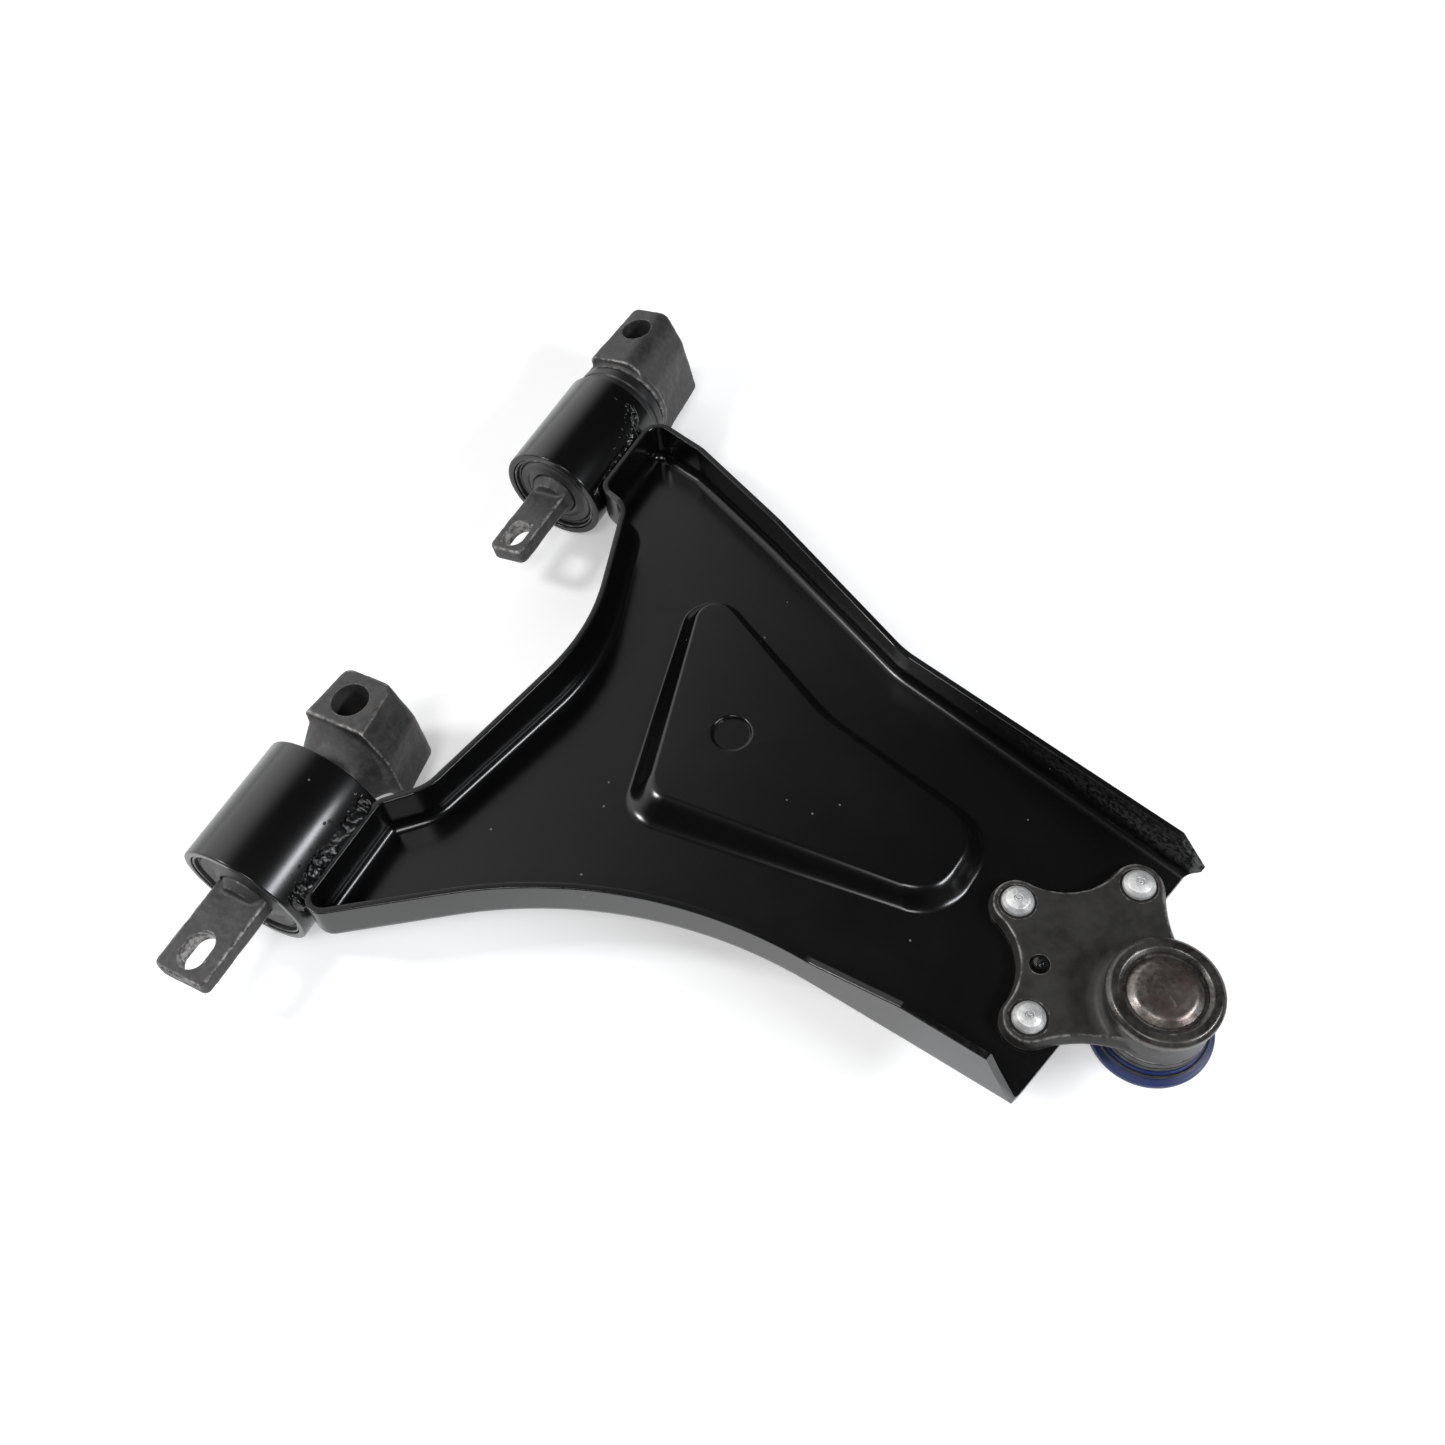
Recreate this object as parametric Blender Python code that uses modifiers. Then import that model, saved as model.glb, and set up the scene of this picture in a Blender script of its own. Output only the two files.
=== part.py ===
"""Pressed-steel suspension control arm with two bar-pin bushes and a riveted ball joint.

Metres, +Z up. The arm is drawn about its bush axis: X runs from the bush axis to the ball joint,
Y runs along the bush axis and Z is square to the web. FOOTPRINT_SHIFT then puts the origin under the
middle of the whole arm, at the height of its lowest point.
"""

import math

import bmesh
import bpy
from mathutils import Matrix, Vector

GAP = 0.0003                        # kept between pieces that touch
FOOTPRINT_SHIFT = Vector((-0.1950, -0.0362, 0.0740))

# pressing
SHEET = 0.0035
WEB_TOP = -0.0095
BEND_RADIUS = 0.005                 # inside of the bend from web to lip
BEND_STEPS = 3
ISLAND_HEIGHT = 0.0095
ISLAND_STEPS = 5
RECESS_CENTRE = (0.163, 0.040)
RECESS_RADIUS = 0.010
RECESS_DEPTH = 0.0012

# ball joint: plate
BALL_X = 0.3952                     # from the bush axis
PLATE_TURN = math.radians(-14.0)    # the joint's plate is turned against X
PLATE_BOTTOM = WEB_TOP + GAP
PLATE_THICKNESS = 0.0062
RIVET_REACH = 0.0755                # inner rivet to ball centre
RIVET_STEP = 0.0367                 # inner rivet to the outer pair, along the plate
RIVET_SPREAD = 0.0421               # half the distance between the outer pair
RIVET_SHANK = 0.0040
LOBE_RADIUS = 0.0128
WAIST_RADIUS = 0.031
NECK_WAIST_RADIUS = 0.060
PIP_PLACE = (-0.0500, -0.0185, 0)

# ball joint: cup and what it holds
CUP_RADIUS = 0.0240
CUP_BOTTOM = -0.0220
BOOT_NECK_RADIUS = 0.0212           # the step under the cup that the boot grips
MOUTH_RADIUS = 0.0130
MOUTH_FLARE = 0.0045                # opens the mouth for the stud's full swing
CAP_RADIUS = 0.0203
CAP_LEDGE = 0.0076
ROLL_BORE = 0.0180                  # the cup's edge is rolled in over the cap's rim
ROLL_UNDERSIDE = 0.0098
SEAT_RADIUS = 0.0168
SEAT_TOP = 0.0040
SEAT_BOTTOM = -0.0188
BALL_CENTRE_Z = -0.006
BALL_RADIUS = 0.0135
STUD_NECK = 0.0070
STUD_COLLAR = 0.0090                # the part that the boot's lip runs on
STUD_TIP = -0.0740
BOOT_LIP_BOTTOM = -0.0482
RING_WIRE_RADIUS = 0.0008

# where the pressing ends at the ball joint: back from the ball's axis, height
END_REACH = 0.0215
END_SIDE = [
    (-END_REACH, -0.030),
    (-END_REACH, -0.0070),
    (-END_REACH - 0.0200, 0.0160),
    (-END_REACH - 0.0340, 0.0330),
    (0.060, 0.0330),
    (0.060, -0.030),
]

# bushes: y of each end, outer radius
REAR_TUBE = {"low": -0.1412, "high": -0.0737, "radius": 0.0337}
FRONT_TUBE = {"low": 0.1344, "high": 0.2004, "radius": 0.0291}
TUBE_WALL = 0.0036
SHELL_WALL = 0.0013
FRONT_RUBBER_REACH = 0.0115         # how far the front rubber stands out towards its bolt block

# bar pins: y along the bush axis, heights from it, in each pin's own tilted frame
PIN_CORE_RADIUS = 0.0130
TANG_THICKNESS = 0.0088
TANG_CORNER = 0.0035
REAR_PIN_TILT = math.radians(-4.0)
FRONT_PIN_TILT = math.radians(-11.0)
REAR_PIN_SPEC = {
    "neck_radius": 0.0200, "neck_from": -0.0760, "core_low": -0.1440,
    "tang_half": 0.0148, "tang_root": -0.1387, "tang_end": -0.1885,
    "slot_y": -0.1740, "slot_half_width": 0.0070, "slot_half_length": 0.0102,
    "top": 0.0295, "half": 0.0176, "flare": 0.0086, "flare_drop": 0.0200, "depth": 0.0240,
    "near": -0.0552, "far": -0.0242, "narrowing": 0.82, "hole_y": -0.0405, "hole_radius": 0.0093,
}
FRONT_PIN_SPEC = {
    "neck_radius": 0.0200, "neck_from": 0.2138, "core_low": 0.1310,
    "tang_half": 0.0107, "tang_root": 0.1500, "tang_end": 0.0870,
    "slot_y": 0.1000, "slot_half_width": 0.0065, "slot_half_length": 0.0095,
    "top": 0.0290, "half": 0.0150, "flare": 0.0062, "flare_drop": 0.0200, "depth": 0.0240,
    "near": 0.2148, "far": 0.2605, "narrowing": 0.80, "hole_y": 0.2430, "hole_radius": 0.0083,
}
BACK_FLARE = 0.0026                 # the block's other flank leans out too, by less

# welds between the tubes and the pressing: x, z, first y, last y, bumps, radius
REAR_WELD = (0.0338, 0.0184, -0.1330, -0.0800, 14, 0.0025)
FRONT_WELD = (0.0306, 0.0142, 0.1450, 0.1900, 12, 0.0023)

# Outer face of the lip, from beyond the ball-joint end round the bushes and back:
# x, y, corner radius, height of the lip's edge.
LIP_PATH = [
    (0.4200, -0.0765, 0.000, 0.0240),
    (0.3000, -0.0632, 0.100, 0.0250),
    (0.1640, -0.0490, 0.235, 0.0150),
    (0.0332, -0.1462, 0.009, 0.0150),
    (0.0332, -0.0755, 0.010, 0.0145),
    (0.0500, -0.0585, 0.022, 0.0150),
    (0.0765, 0.0520, 0.110, 0.0190),
    (0.0480, 0.1320, 0.012, 0.0160),
    (0.0288, 0.1400, 0.010, 0.0110),
    (0.0288, 0.1995, 0.010, 0.0120),
    (0.0660, 0.1900, 0.020, 0.0140),
    (0.1260, 0.1630, 0.200, 0.0140),
    (0.2210, 0.1165, 0.060, 0.0100),
    (0.4200, 0.0622, 0.000, 0.0160),
]
# The island's foot on the web and its top: x, y, corner radius, corner by corner.
ISLAND_FOOT = [
    (0.0940, 0.1310, 0.017),
    (0.2000, 0.0760, 0.090),
    (0.3030, 0.0500, 0.028),
    (0.2980, -0.0045, 0.027),
    (0.1335, -0.0230, 0.018),
]
ISLAND_TOP = [
    (0.1075, 0.1170, 0.009),
    (0.1970, 0.0680, 0.070),
    (0.2915, 0.0430, 0.020),
    (0.2865, 0.0040, 0.019),
    (0.1430, -0.0050, 0.011),
]

SCENE = bpy.context.scene
for old in list(bpy.data.objects):
    bpy.data.objects.remove(old, do_unlink=True)

PARTS = bpy.data.collections.new("control_arm")
CUTTERS = bpy.data.collections.new("cutters")
SCENE.collection.children.link(PARTS)
SCENE.collection.children.link(CUTTERS)


# ---------------------------------------------------------------- materials


def material(name, colour, roughness, metallic):
    made = bpy.data.materials.new(name)
    made.use_nodes = True
    shader = made.node_tree.nodes["Principled BSDF"]
    shader.inputs["Base Color"].default_value = (*colour, 1.0)
    shader.inputs["Roughness"].default_value = roughness
    shader.inputs["Metallic"].default_value = metallic
    return made


GLOSS_BLACK = material("gloss_black_paint", (0.012, 0.012, 0.013), 0.25, 0.0)
FORGED = material("forged_grey_steel", (0.085, 0.082, 0.078), 0.5, 0.7)
ZINC = material("bright_zinc", (0.72, 0.72, 0.71), 0.3, 1.0)
BLACK_RUBBER = material("black_rubber", (0.02, 0.02, 0.02), 0.7, 0.0)
BLUE_RUBBER = material("blue_rubber", (0.01, 0.07, 0.28), 0.45, 0.0)
SHELL_STEEL = material("shell_steel", (0.12, 0.12, 0.12), 0.45, 0.8)
SEAT_PLASTIC = material("seat_plastic", (0.75, 0.74, 0.68), 0.5, 0.0)
GROUND_STEEL = material("ground_steel", (0.55, 0.55, 0.54), 0.2, 1.0)


# ---------------------------------------------------------------- empties


def empty(name, parent, location=(0, 0, 0), rotation=(0, 0, 0)):
    made = bpy.data.objects.new(name, None)
    PARTS.objects.link(made)
    made.parent = parent
    made.location = location
    made.rotation_euler = rotation
    return made


ARM = empty("arm_frame", None, FOOTPRINT_SHIFT)
PLATE = empty("plate_frame", ARM, (BALL_X, 0, 0), (0, 0, PLATE_TURN))
BALL = empty("ball_centre", PLATE, (0, 0, BALL_CENTRE_Z))
FROM_BALL = (0, 0, -BALL_CENTRE_Z)  # lets pieces on the ball centre keep heights from the bush axis
REAR_PIN = empty("rear_pin_axis", ARM, (0, 0, 0), (0, REAR_PIN_TILT, 0))
FRONT_PIN = empty("front_pin_axis", ARM, (0, 0, 0), (0, FRONT_PIN_TILT, 0))
ALONG_Y = (-math.pi / 2, 0, 0)      # turns an object's own Z onto Y


# ---------------------------------------------------------------- making objects


def put(name, mesh, parent, look=None, location=(0, 0, 0), rotation=(0, 0, 0)):
    """Places a mesh: with a look it is a part, without one a cutter."""
    made = bpy.data.objects.new(name, mesh)
    made.parent = parent
    made.location = location
    made.rotation_euler = rotation
    if look:
        made.data.materials.append(look)
        PARTS.objects.link(made)
    else:
        CUTTERS.objects.link(made)
        made.hide_render = True
        made.display_type = "WIRE"
    return made


def turned(name, profile, parent, look=None, steps=48, closed=False, **place):
    """A turned piece: (radius, height) points run down the outer side, or round a closed section."""
    mesh = bpy.data.meshes.new(name)
    edges = [(i, i + 1) for i in range(len(profile) - 1)]
    if closed:
        edges.append((len(profile) - 1, 0))
    mesh.from_pydata([(r, 0, h) for r, h in profile], edges, [])
    made = put(name, mesh, parent, look, **place)
    screw = made.modifiers.new("turn", "SCREW")
    screw.steps = steps
    screw.render_steps = steps
    screw.use_merge_vertices = True
    screw.merge_threshold = 0.00001
    screw.use_smooth_shade = True
    return made


def ring_profile(inner, outer, low, high, chamfer):
    """Closed section of a ring with chamfered outer and inner edges."""
    return [
        (outer - chamfer, high),
        (outer, high - chamfer),
        (outer, low + chamfer),
        (outer - chamfer, low),
        (inner + chamfer, low),
        (inner, low + chamfer),
        (inner, high - chamfer),
        (inner + chamfer, high),
    ]


def flat_solid(name, outline, low, high, parent, look=None, **place):
    """A closed outline of (x, y) points made solid from low to high."""
    curve = bpy.data.curves.new(name, "CURVE")
    curve.dimensions = "2D"
    curve.fill_mode = "BOTH"
    curve.extrude = (high - low) / 2
    spline = curve.splines.new("POLY")
    spline.points.add(len(outline) - 1)
    for point, (x, y) in zip(spline.points, outline):
        point.co = (x, y, 0, 1)
    spline.use_cyclic_u = True
    drawn = bpy.data.objects.new(name + "_outline", curve)
    SCENE.collection.objects.link(drawn)
    bpy.context.view_layer.update()
    shape = drawn.evaluated_get(bpy.context.evaluated_depsgraph_get())
    mesh = bpy.data.meshes.new_from_object(shape)
    bpy.data.objects.remove(drawn)
    bpy.data.curves.remove(curve)
    bm = bmesh.new()
    bm.from_mesh(mesh)
    bmesh.ops.remove_doubles(bm, verts=bm.verts, dist=0.000001)
    bmesh.ops.translate(bm, verts=bm.verts, vec=(0, 0, (low + high) / 2))
    bmesh.ops.recalc_face_normals(bm, faces=bm.faces)
    bm.to_mesh(mesh)
    bm.free()
    return put(name, mesh, parent, look, **place)


def rod(name, radius, start, end, parent, sides=32):
    """A plain cylinder between two points, for cutting."""
    start = Vector(start)
    end = Vector(end)
    bm = bmesh.new()
    bmesh.ops.create_cone(bm, cap_ends=True, segments=sides, radius1=radius, radius2=radius,
                          depth=(end - start).length)
    mesh = bpy.data.meshes.new(name)
    bm.to_mesh(mesh)
    bm.free()
    made = put(name, mesh, parent)
    made.location = (start + end) / 2
    made.rotation_euler = (end - start).to_track_quat("Z", "Y").to_euler()
    return made


def combine(target, others, operation="DIFFERENCE"):
    for other in others:
        step = target.modifiers.new(other.name, "BOOLEAN")
        step.operation = operation
        step.object = other
        step.solver = "EXACT"


# ---------------------------------------------------------------- outlines


def arc_points(centre, radius, start, sweep, steps):
    return [
        centre + radius * Vector((math.cos(start + sweep * i / steps), math.sin(start + sweep * i / steps)))
        for i in range(steps + 1)
    ]


def corner_arc(before, corner, after, radius, steps):
    """The arc of a radius that rounds a corner, as points from the side before to the side after."""
    inward = (before - corner).normalized()
    onward = (after - corner).normalized()
    half = inward.angle(onward) / 2
    centre = corner + (inward + onward).normalized() * radius / math.sin(half)
    first = corner + inward * radius / math.tan(half) - centre
    last = corner + onward * radius / math.tan(half) - centre
    sweep = math.atan2(first.cross(last), first.dot(last))
    return arc_points(centre, radius, math.atan2(first.y, first.x), sweep, steps)


def open_path(corners, chord):
    """Rounds an open path of (x, y, radius, height) corners. Gives (point, direction, height)."""
    at = [Vector(c[:2]) for c in corners]
    samples = []
    for i, (_, _, radius, height) in enumerate(corners):
        if radius == 0:
            toward = at[i + 1] - at[i] if i == 0 else at[i] - at[i - 1]
            samples.append((at[i], toward.normalized(), height))
            continue
        before = (at[i] - at[i - 1]).normalized()
        after = (at[i + 1] - at[i]).normalized()
        turn = before.angle_signed(after)
        steps = max(3, round(abs(turn) * radius / chord))
        for n, point in enumerate(corner_arc(at[i - 1], at[i], at[i + 1], radius, steps)):
            direction = before.copy()
            direction.rotate(Matrix.Rotation(-turn * n / steps, 2))
            samples.append((point, direction, height))
    return samples


def closed_path(corners, steps):
    """Rounds a closed outline of (x, y, radius) corners, with the same count of points at each."""
    at = [Vector(c[:2]) for c in corners]
    points = []
    for i, (_, _, radius) in enumerate(corners):
        points += corner_arc(at[i - 1], at[i], at[(i + 1) % len(at)], radius, steps)
    return points


def waist_centre(first, first_radius, second, second_radius, waist, side):
    """Centre of the hollow arc that touches two lobes, on the given side of the line between them."""
    along = second - first
    gap = along.length
    reach = first_radius + waist
    foot = (gap ** 2 + reach ** 2 - (second_radius + waist) ** 2) / (2 * gap)
    off = math.sqrt(reach ** 2 - foot ** 2)
    across = Vector((-along.y, along.x)).normalized()
    return first + along.normalized() * foot + across * off * side


def lobed_outline(lobes, waists, degrees_each):
    """Outline round lobes (centre, radius) in turn, joined by hollow arcs of the waist radii."""
    count = len(lobes)
    hollows = [
        waist_centre(*lobes[i], *lobes[(i + 1) % count], waists[i], -1)
        for i in range(count)
    ]
    points = []
    for i, (centre, radius) in enumerate(lobes):
        start = hollows[i - 1] - centre
        end = hollows[i] - centre
        sweep = (math.atan2(end.y, end.x) - math.atan2(start.y, start.x)) % (2 * math.pi)
        steps = max(3, round(math.degrees(sweep) / degrees_each))
        points += arc_points(centre, radius, math.atan2(start.y, start.x), sweep, steps)
        follow = lobes[(i + 1) % count][0]
        start = centre - hollows[i]
        end = follow - hollows[i]
        sweep = start.angle_signed(end)
        steps = max(3, round(abs(math.degrees(sweep)) / degrees_each))
        points += arc_points(hollows[i], waists[i], math.atan2(start.y, start.x), -sweep, steps)[1:-1]
    return [(p.x, p.y) for p in points]


# ---------------------------------------------------------------- pressing


def loop_of(bm, points):
    return [bm.verts.new(p) for p in points]


def strip(bm, first, second, closed):
    """Quads between two rows of vertices."""
    count = len(first)
    for i in range(count if closed else count - 1):
        j = (i + 1) % count
        bm.faces.new((first[i], first[j], second[j], second[i]))


def chain_edges(bm, row):
    edges = []
    for a, b in zip(row, row[1:] + row[:1]):
        edges.append(bm.edges.get((a, b)) or bm.edges.new((a, b)))
    return edges


def arm_pressing():
    """The tray: web, raised lip on a bend, and an island with a round recess, as one sheet."""
    bm = bmesh.new()
    path = open_path(LIP_PATH, 0.012)

    def row(offset, height=None):
        points = []
        for point, direction, lip in path:
            inward = Vector((direction.y, -direction.x))
            spot = point + inward * offset
            points.append((spot.x, spot.y, lip if height is None else height))
        return loop_of(bm, points)

    rows = [row(SHEET)]
    for n in range(BEND_STEPS + 1):
        turn = math.pi / 2 * n / BEND_STEPS
        rows.append(row(SHEET + BEND_RADIUS * (1 - math.cos(turn)),
                        WEB_TOP + BEND_RADIUS * (1 - math.sin(turn))))
    for upper, lower in zip(rows, rows[1:]):
        strip(bm, upper, lower, closed=False)

    foot = closed_path(ISLAND_FOOT, 6)
    top = closed_path(ISLAND_TOP, 6)
    island = []
    for n in range(ISLAND_STEPS + 1):
        part = n / ISLAND_STEPS
        rise = part * part * (3 - 2 * part)
        ring = [f.lerp(t, part) for f, t in zip(foot, top)]
        island.append(loop_of(bm, [(p.x, p.y, WEB_TOP + ISLAND_HEIGHT * rise) for p in ring]))
    for outer, inner in zip(island, island[1:]):
        strip(bm, outer, inner, closed=True)

    plateau = WEB_TOP + ISLAND_HEIGHT
    centre = Vector(RECESS_CENTRE)
    rim = []
    for radius, height in ((RECESS_RADIUS, plateau), (RECESS_RADIUS - 0.0012, plateau - RECESS_DEPTH)):
        ring = arc_points(centre, radius, 0, 2 * math.pi, 20)[:-1]
        rim.append(loop_of(bm, [(p.x, p.y, height) for p in ring]))
    strip(bm, rim[0], rim[1], closed=True)
    bm.faces.new(rim[1])

    web_edges = chain_edges(bm, rows[-1]) + chain_edges(bm, island[0])
    bmesh.ops.triangle_fill(bm, use_beauty=True, edges=web_edges)
    top_edges = chain_edges(bm, island[-1]) + chain_edges(bm, rim[0])
    bmesh.ops.triangle_fill(bm, use_beauty=True, edges=top_edges)
    bmesh.ops.recalc_face_normals(bm, faces=bm.faces)
    web = min(bm.faces, key=lambda f: (f.calc_center_median() - Vector((0.2, -0.04, WEB_TOP))).length)
    if web.normal.z < 0:
        bmesh.ops.reverse_faces(bm, faces=bm.faces)
    mesh = bpy.data.meshes.new("arm_pressing")
    bm.to_mesh(mesh)
    bm.free()

    pressing = put("arm_pressing", mesh, ARM, GLOSS_BLACK)
    sheet = pressing.modifiers.new("sheet", "SOLIDIFY")
    sheet.thickness = SHEET
    sheet.offset = -1
    sheet.use_even_offset = True
    saddles = [
        rod(f"{name}_saddle", tube["radius"] + GAP, (0, tube["low"] - 0.012, 0),
            (0, tube["high"] + 0.012, 0), ARM, sides=64)
        for name, tube in (("rear", REAR_TUBE), ("front", FRONT_TUBE))
    ]
    notch = rod("cup_notch", CUP_RADIUS + 0.0012, (0, 0, -0.030), (0, 0, 0.030), PLATE, sides=48)
    combine(pressing, saddles + [end_cutter(), notch] + rivet_holes("web_hole"))
    return pressing


def end_cutter():
    """Cuts the web square to the plate, and slopes the lips down to it."""
    return flat_solid("end_cut", END_SIDE, -0.12, 0.12, PLATE, rotation=(math.pi / 2, 0, 0))


def rivet_spots():
    return [
        Vector((-RIVET_REACH, 0, 0)),
        Vector((-RIVET_REACH + RIVET_STEP, RIVET_SPREAD, 0)),
        Vector((-RIVET_REACH + RIVET_STEP, -RIVET_SPREAD, 0)),
    ]


def rivet_holes(name):
    return [
        rod(f"{name}_{n}", RIVET_SHANK + GAP, spot - Vector((0, 0, 0.025)), spot + Vector((0, 0, 0.010)),
            PLATE, sides=24)
        for n, spot in enumerate(rivet_spots(), 1)
    ]


# ---------------------------------------------------------------- bushes


def bush(name, tube, protrusion):
    """The welded tube, the steel shell pressed into it and the rubber, which stands out by protrusion."""
    low, high = tube["low"], tube["high"]
    bore = tube["radius"] - TUBE_WALL
    turned(f"{name}_bush_tube", ring_profile(bore, tube["radius"], low, high, 0.0008),
           ARM, GLOSS_BLACK, closed=True, steps=40, rotation=ALONG_Y)
    shell_outer = bore - GAP
    shell_inner = shell_outer - SHELL_WALL
    shell_section = [
        (shell_outer, high - 0.0005),
        (shell_outer, low + 0.0012),
        (shell_inner, low + 0.0012),
        (shell_inner, high - 0.0005),
    ]
    turned(f"{name}_bush_shell", shell_section, ARM, SHELL_STEEL, closed=True, steps=40, rotation=ALONG_Y)
    rubber_outer = shell_inner - GAP
    core = PIN_CORE_RADIUS + GAP
    middle = (rubber_outer + core) / 2
    if protrusion:
        far_end = [
            (rubber_outer, high + GAP),
            (rubber_outer + 0.0032, high + GAP),
            (rubber_outer + 0.0032, high + protrusion - 0.0015),
            (rubber_outer + 0.0017, high + protrusion),
            (core, high + protrusion),
        ]
    else:
        far_end = [(rubber_outer, high - 0.004), (middle, high - 0.009), (core, high - 0.004)]
    near_end = [(core, low + 0.003), (middle, low + 0.009), (rubber_outer, low + 0.003)]
    profile = list(reversed(far_end)) + list(reversed(near_end))
    turned(f"{name}_bush_rubber", profile, ARM, BLACK_RUBBER, closed=True, steps=40, rotation=ALONG_Y)


def block_section(spec, scale):
    """Section of the thick bolt block, square to the bush axis: both flanks lean out, then drop."""
    top = spec["top"]
    drop = top - spec["flare_drop"]
    left = -spec["half"] * scale
    right = spec["half"] * scale
    return [
        (left, top),
        (right, top),
        (right + spec["flare"] * scale, drop),
        (right + spec["flare"] * scale, -spec["depth"]),
        (left - BACK_FLARE, -spec["depth"]),
        (left - BACK_FLARE, drop),
    ]


def bolt_block(name, spec, parent):
    """Lofts the block's section along the bush axis, narrower at its free end."""
    bm = bmesh.new()
    rows = []
    for y, scale in ((spec["near"], 1.0), (spec["far"], spec["narrowing"])):
        rows.append(loop_of(bm, [(x, y, z) for x, z in block_section(spec, scale)]))
    strip(bm, rows[0], rows[1], closed=True)
    bm.faces.new(rows[0])
    bm.faces.new(rows[1])
    bmesh.ops.recalc_face_normals(bm, faces=bm.faces)
    mesh = bpy.data.meshes.new(name)
    bm.to_mesh(mesh)
    bm.free()
    block = put(name, mesh, parent)
    rounding = block.modifiers.new("forged_edges", "BEVEL")
    rounding.width = 0.0022
    rounding.segments = 2
    rounding.limit_method = "ANGLE"
    return block


def tang_outline(spec):
    """Flat tang seen from above, with its two free corners rounded off."""
    half = spec["tang_half"]
    turn_from = spec["tang_end"] + TANG_CORNER
    left = arc_points(Vector((-half + TANG_CORNER, turn_from)), TANG_CORNER, math.pi, math.pi / 2, 3)
    right = arc_points(Vector((half - TANG_CORNER, turn_from)), TANG_CORNER, -math.pi / 2, math.pi / 2, 3)
    corners = [(p.x, p.y) for p in left + right]
    return [(-half, spec["tang_root"])] + corners + [(half, spec["tang_root"])]


def slot_outline(spec):
    """The tang's slot: two half rounds joined by straight sides, along the bush axis."""
    half = spec["slot_half_width"]
    run = spec["slot_half_length"] - half
    points = []
    for side in (1, -1):
        centre = Vector((0, spec["slot_y"] + side * run))
        start = 0 if side > 0 else math.pi
        points += arc_points(centre, half, start, math.pi, 10)
    return [(p.x, p.y) for p in points]


def bar_pin(name, spec, parent):
    """One forging: round core through the bush, flat slotted tang at one end, bolt block at the other."""
    neck = spec["neck_radius"]
    shoulder = spec["neck_from"]
    core = turned(name, [
        (0, spec["near"] + 0.004),
        (neck, spec["near"] + 0.004),
        (neck, shoulder),
        (PIN_CORE_RADIUS, shoulder - 0.0015),
        (PIN_CORE_RADIUS, spec["core_low"] + 0.003),
        (PIN_CORE_RADIUS - 0.003, spec["core_low"]),
        (0, spec["core_low"]),
    ], parent, FORGED, steps=32, rotation=ALONG_Y)
    tang = flat_solid(name + "_tang", tang_outline(spec), -TANG_THICKNESS / 2, TANG_THICKNESS / 2, parent)
    block = bolt_block(name + "_block", spec, parent)
    combine(core, [tang, block], "UNION")
    slot = flat_solid(name + "_slot", slot_outline(spec), -0.02, 0.02, parent)
    hole_y = spec["hole_y"]
    hole = rod(name + "_hole", spec["hole_radius"], (0, hole_y, -0.06), (0, hole_y, 0.06), parent, sides=32)
    combine(core, [slot, hole])
    return core


def weld_bead(name, points, radius):
    """A round bead along a straight seam, a little thicker and thinner from ripple to ripple."""
    curve = bpy.data.curves.new(name, "CURVE")
    curve.dimensions = "3D"
    curve.bevel_depth = radius
    curve.bevel_resolution = 1
    curve.use_fill_caps = True
    spline = curve.splines.new("POLY")
    spline.points.add(len(points) - 1)
    for n, (point, place) in enumerate(zip(spline.points, points)):
        point.co = (*place, 1)
        point.radius = 0.85 + 0.15 * (n % 2)
    bead = bpy.data.objects.new(name, curve)
    bead.parent = ARM
    bead.data.materials.append(GLOSS_BLACK)
    PARTS.objects.link(bead)
    return bead


def tube_weld(name, weld):
    x, z, low, high, bumps, radius = weld
    weld_bead(name, [(x, low + (high - low) * n / (bumps - 1), z) for n in range(bumps)], radius)


# ---------------------------------------------------------------- ball joint


def sphere_arc(radius, centre, top, bottom, steps):
    """(radius, height) points of a sphere's side, from one height down to another."""
    start = math.asin((top - centre) / radius)
    end = math.asin((bottom - centre) / radius)
    return [
        (radius * math.cos(start + (end - start) * n / steps),
         centre + radius * math.sin(start + (end - start) * n / steps))
        for n in range(steps + 1)
    ]


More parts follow.
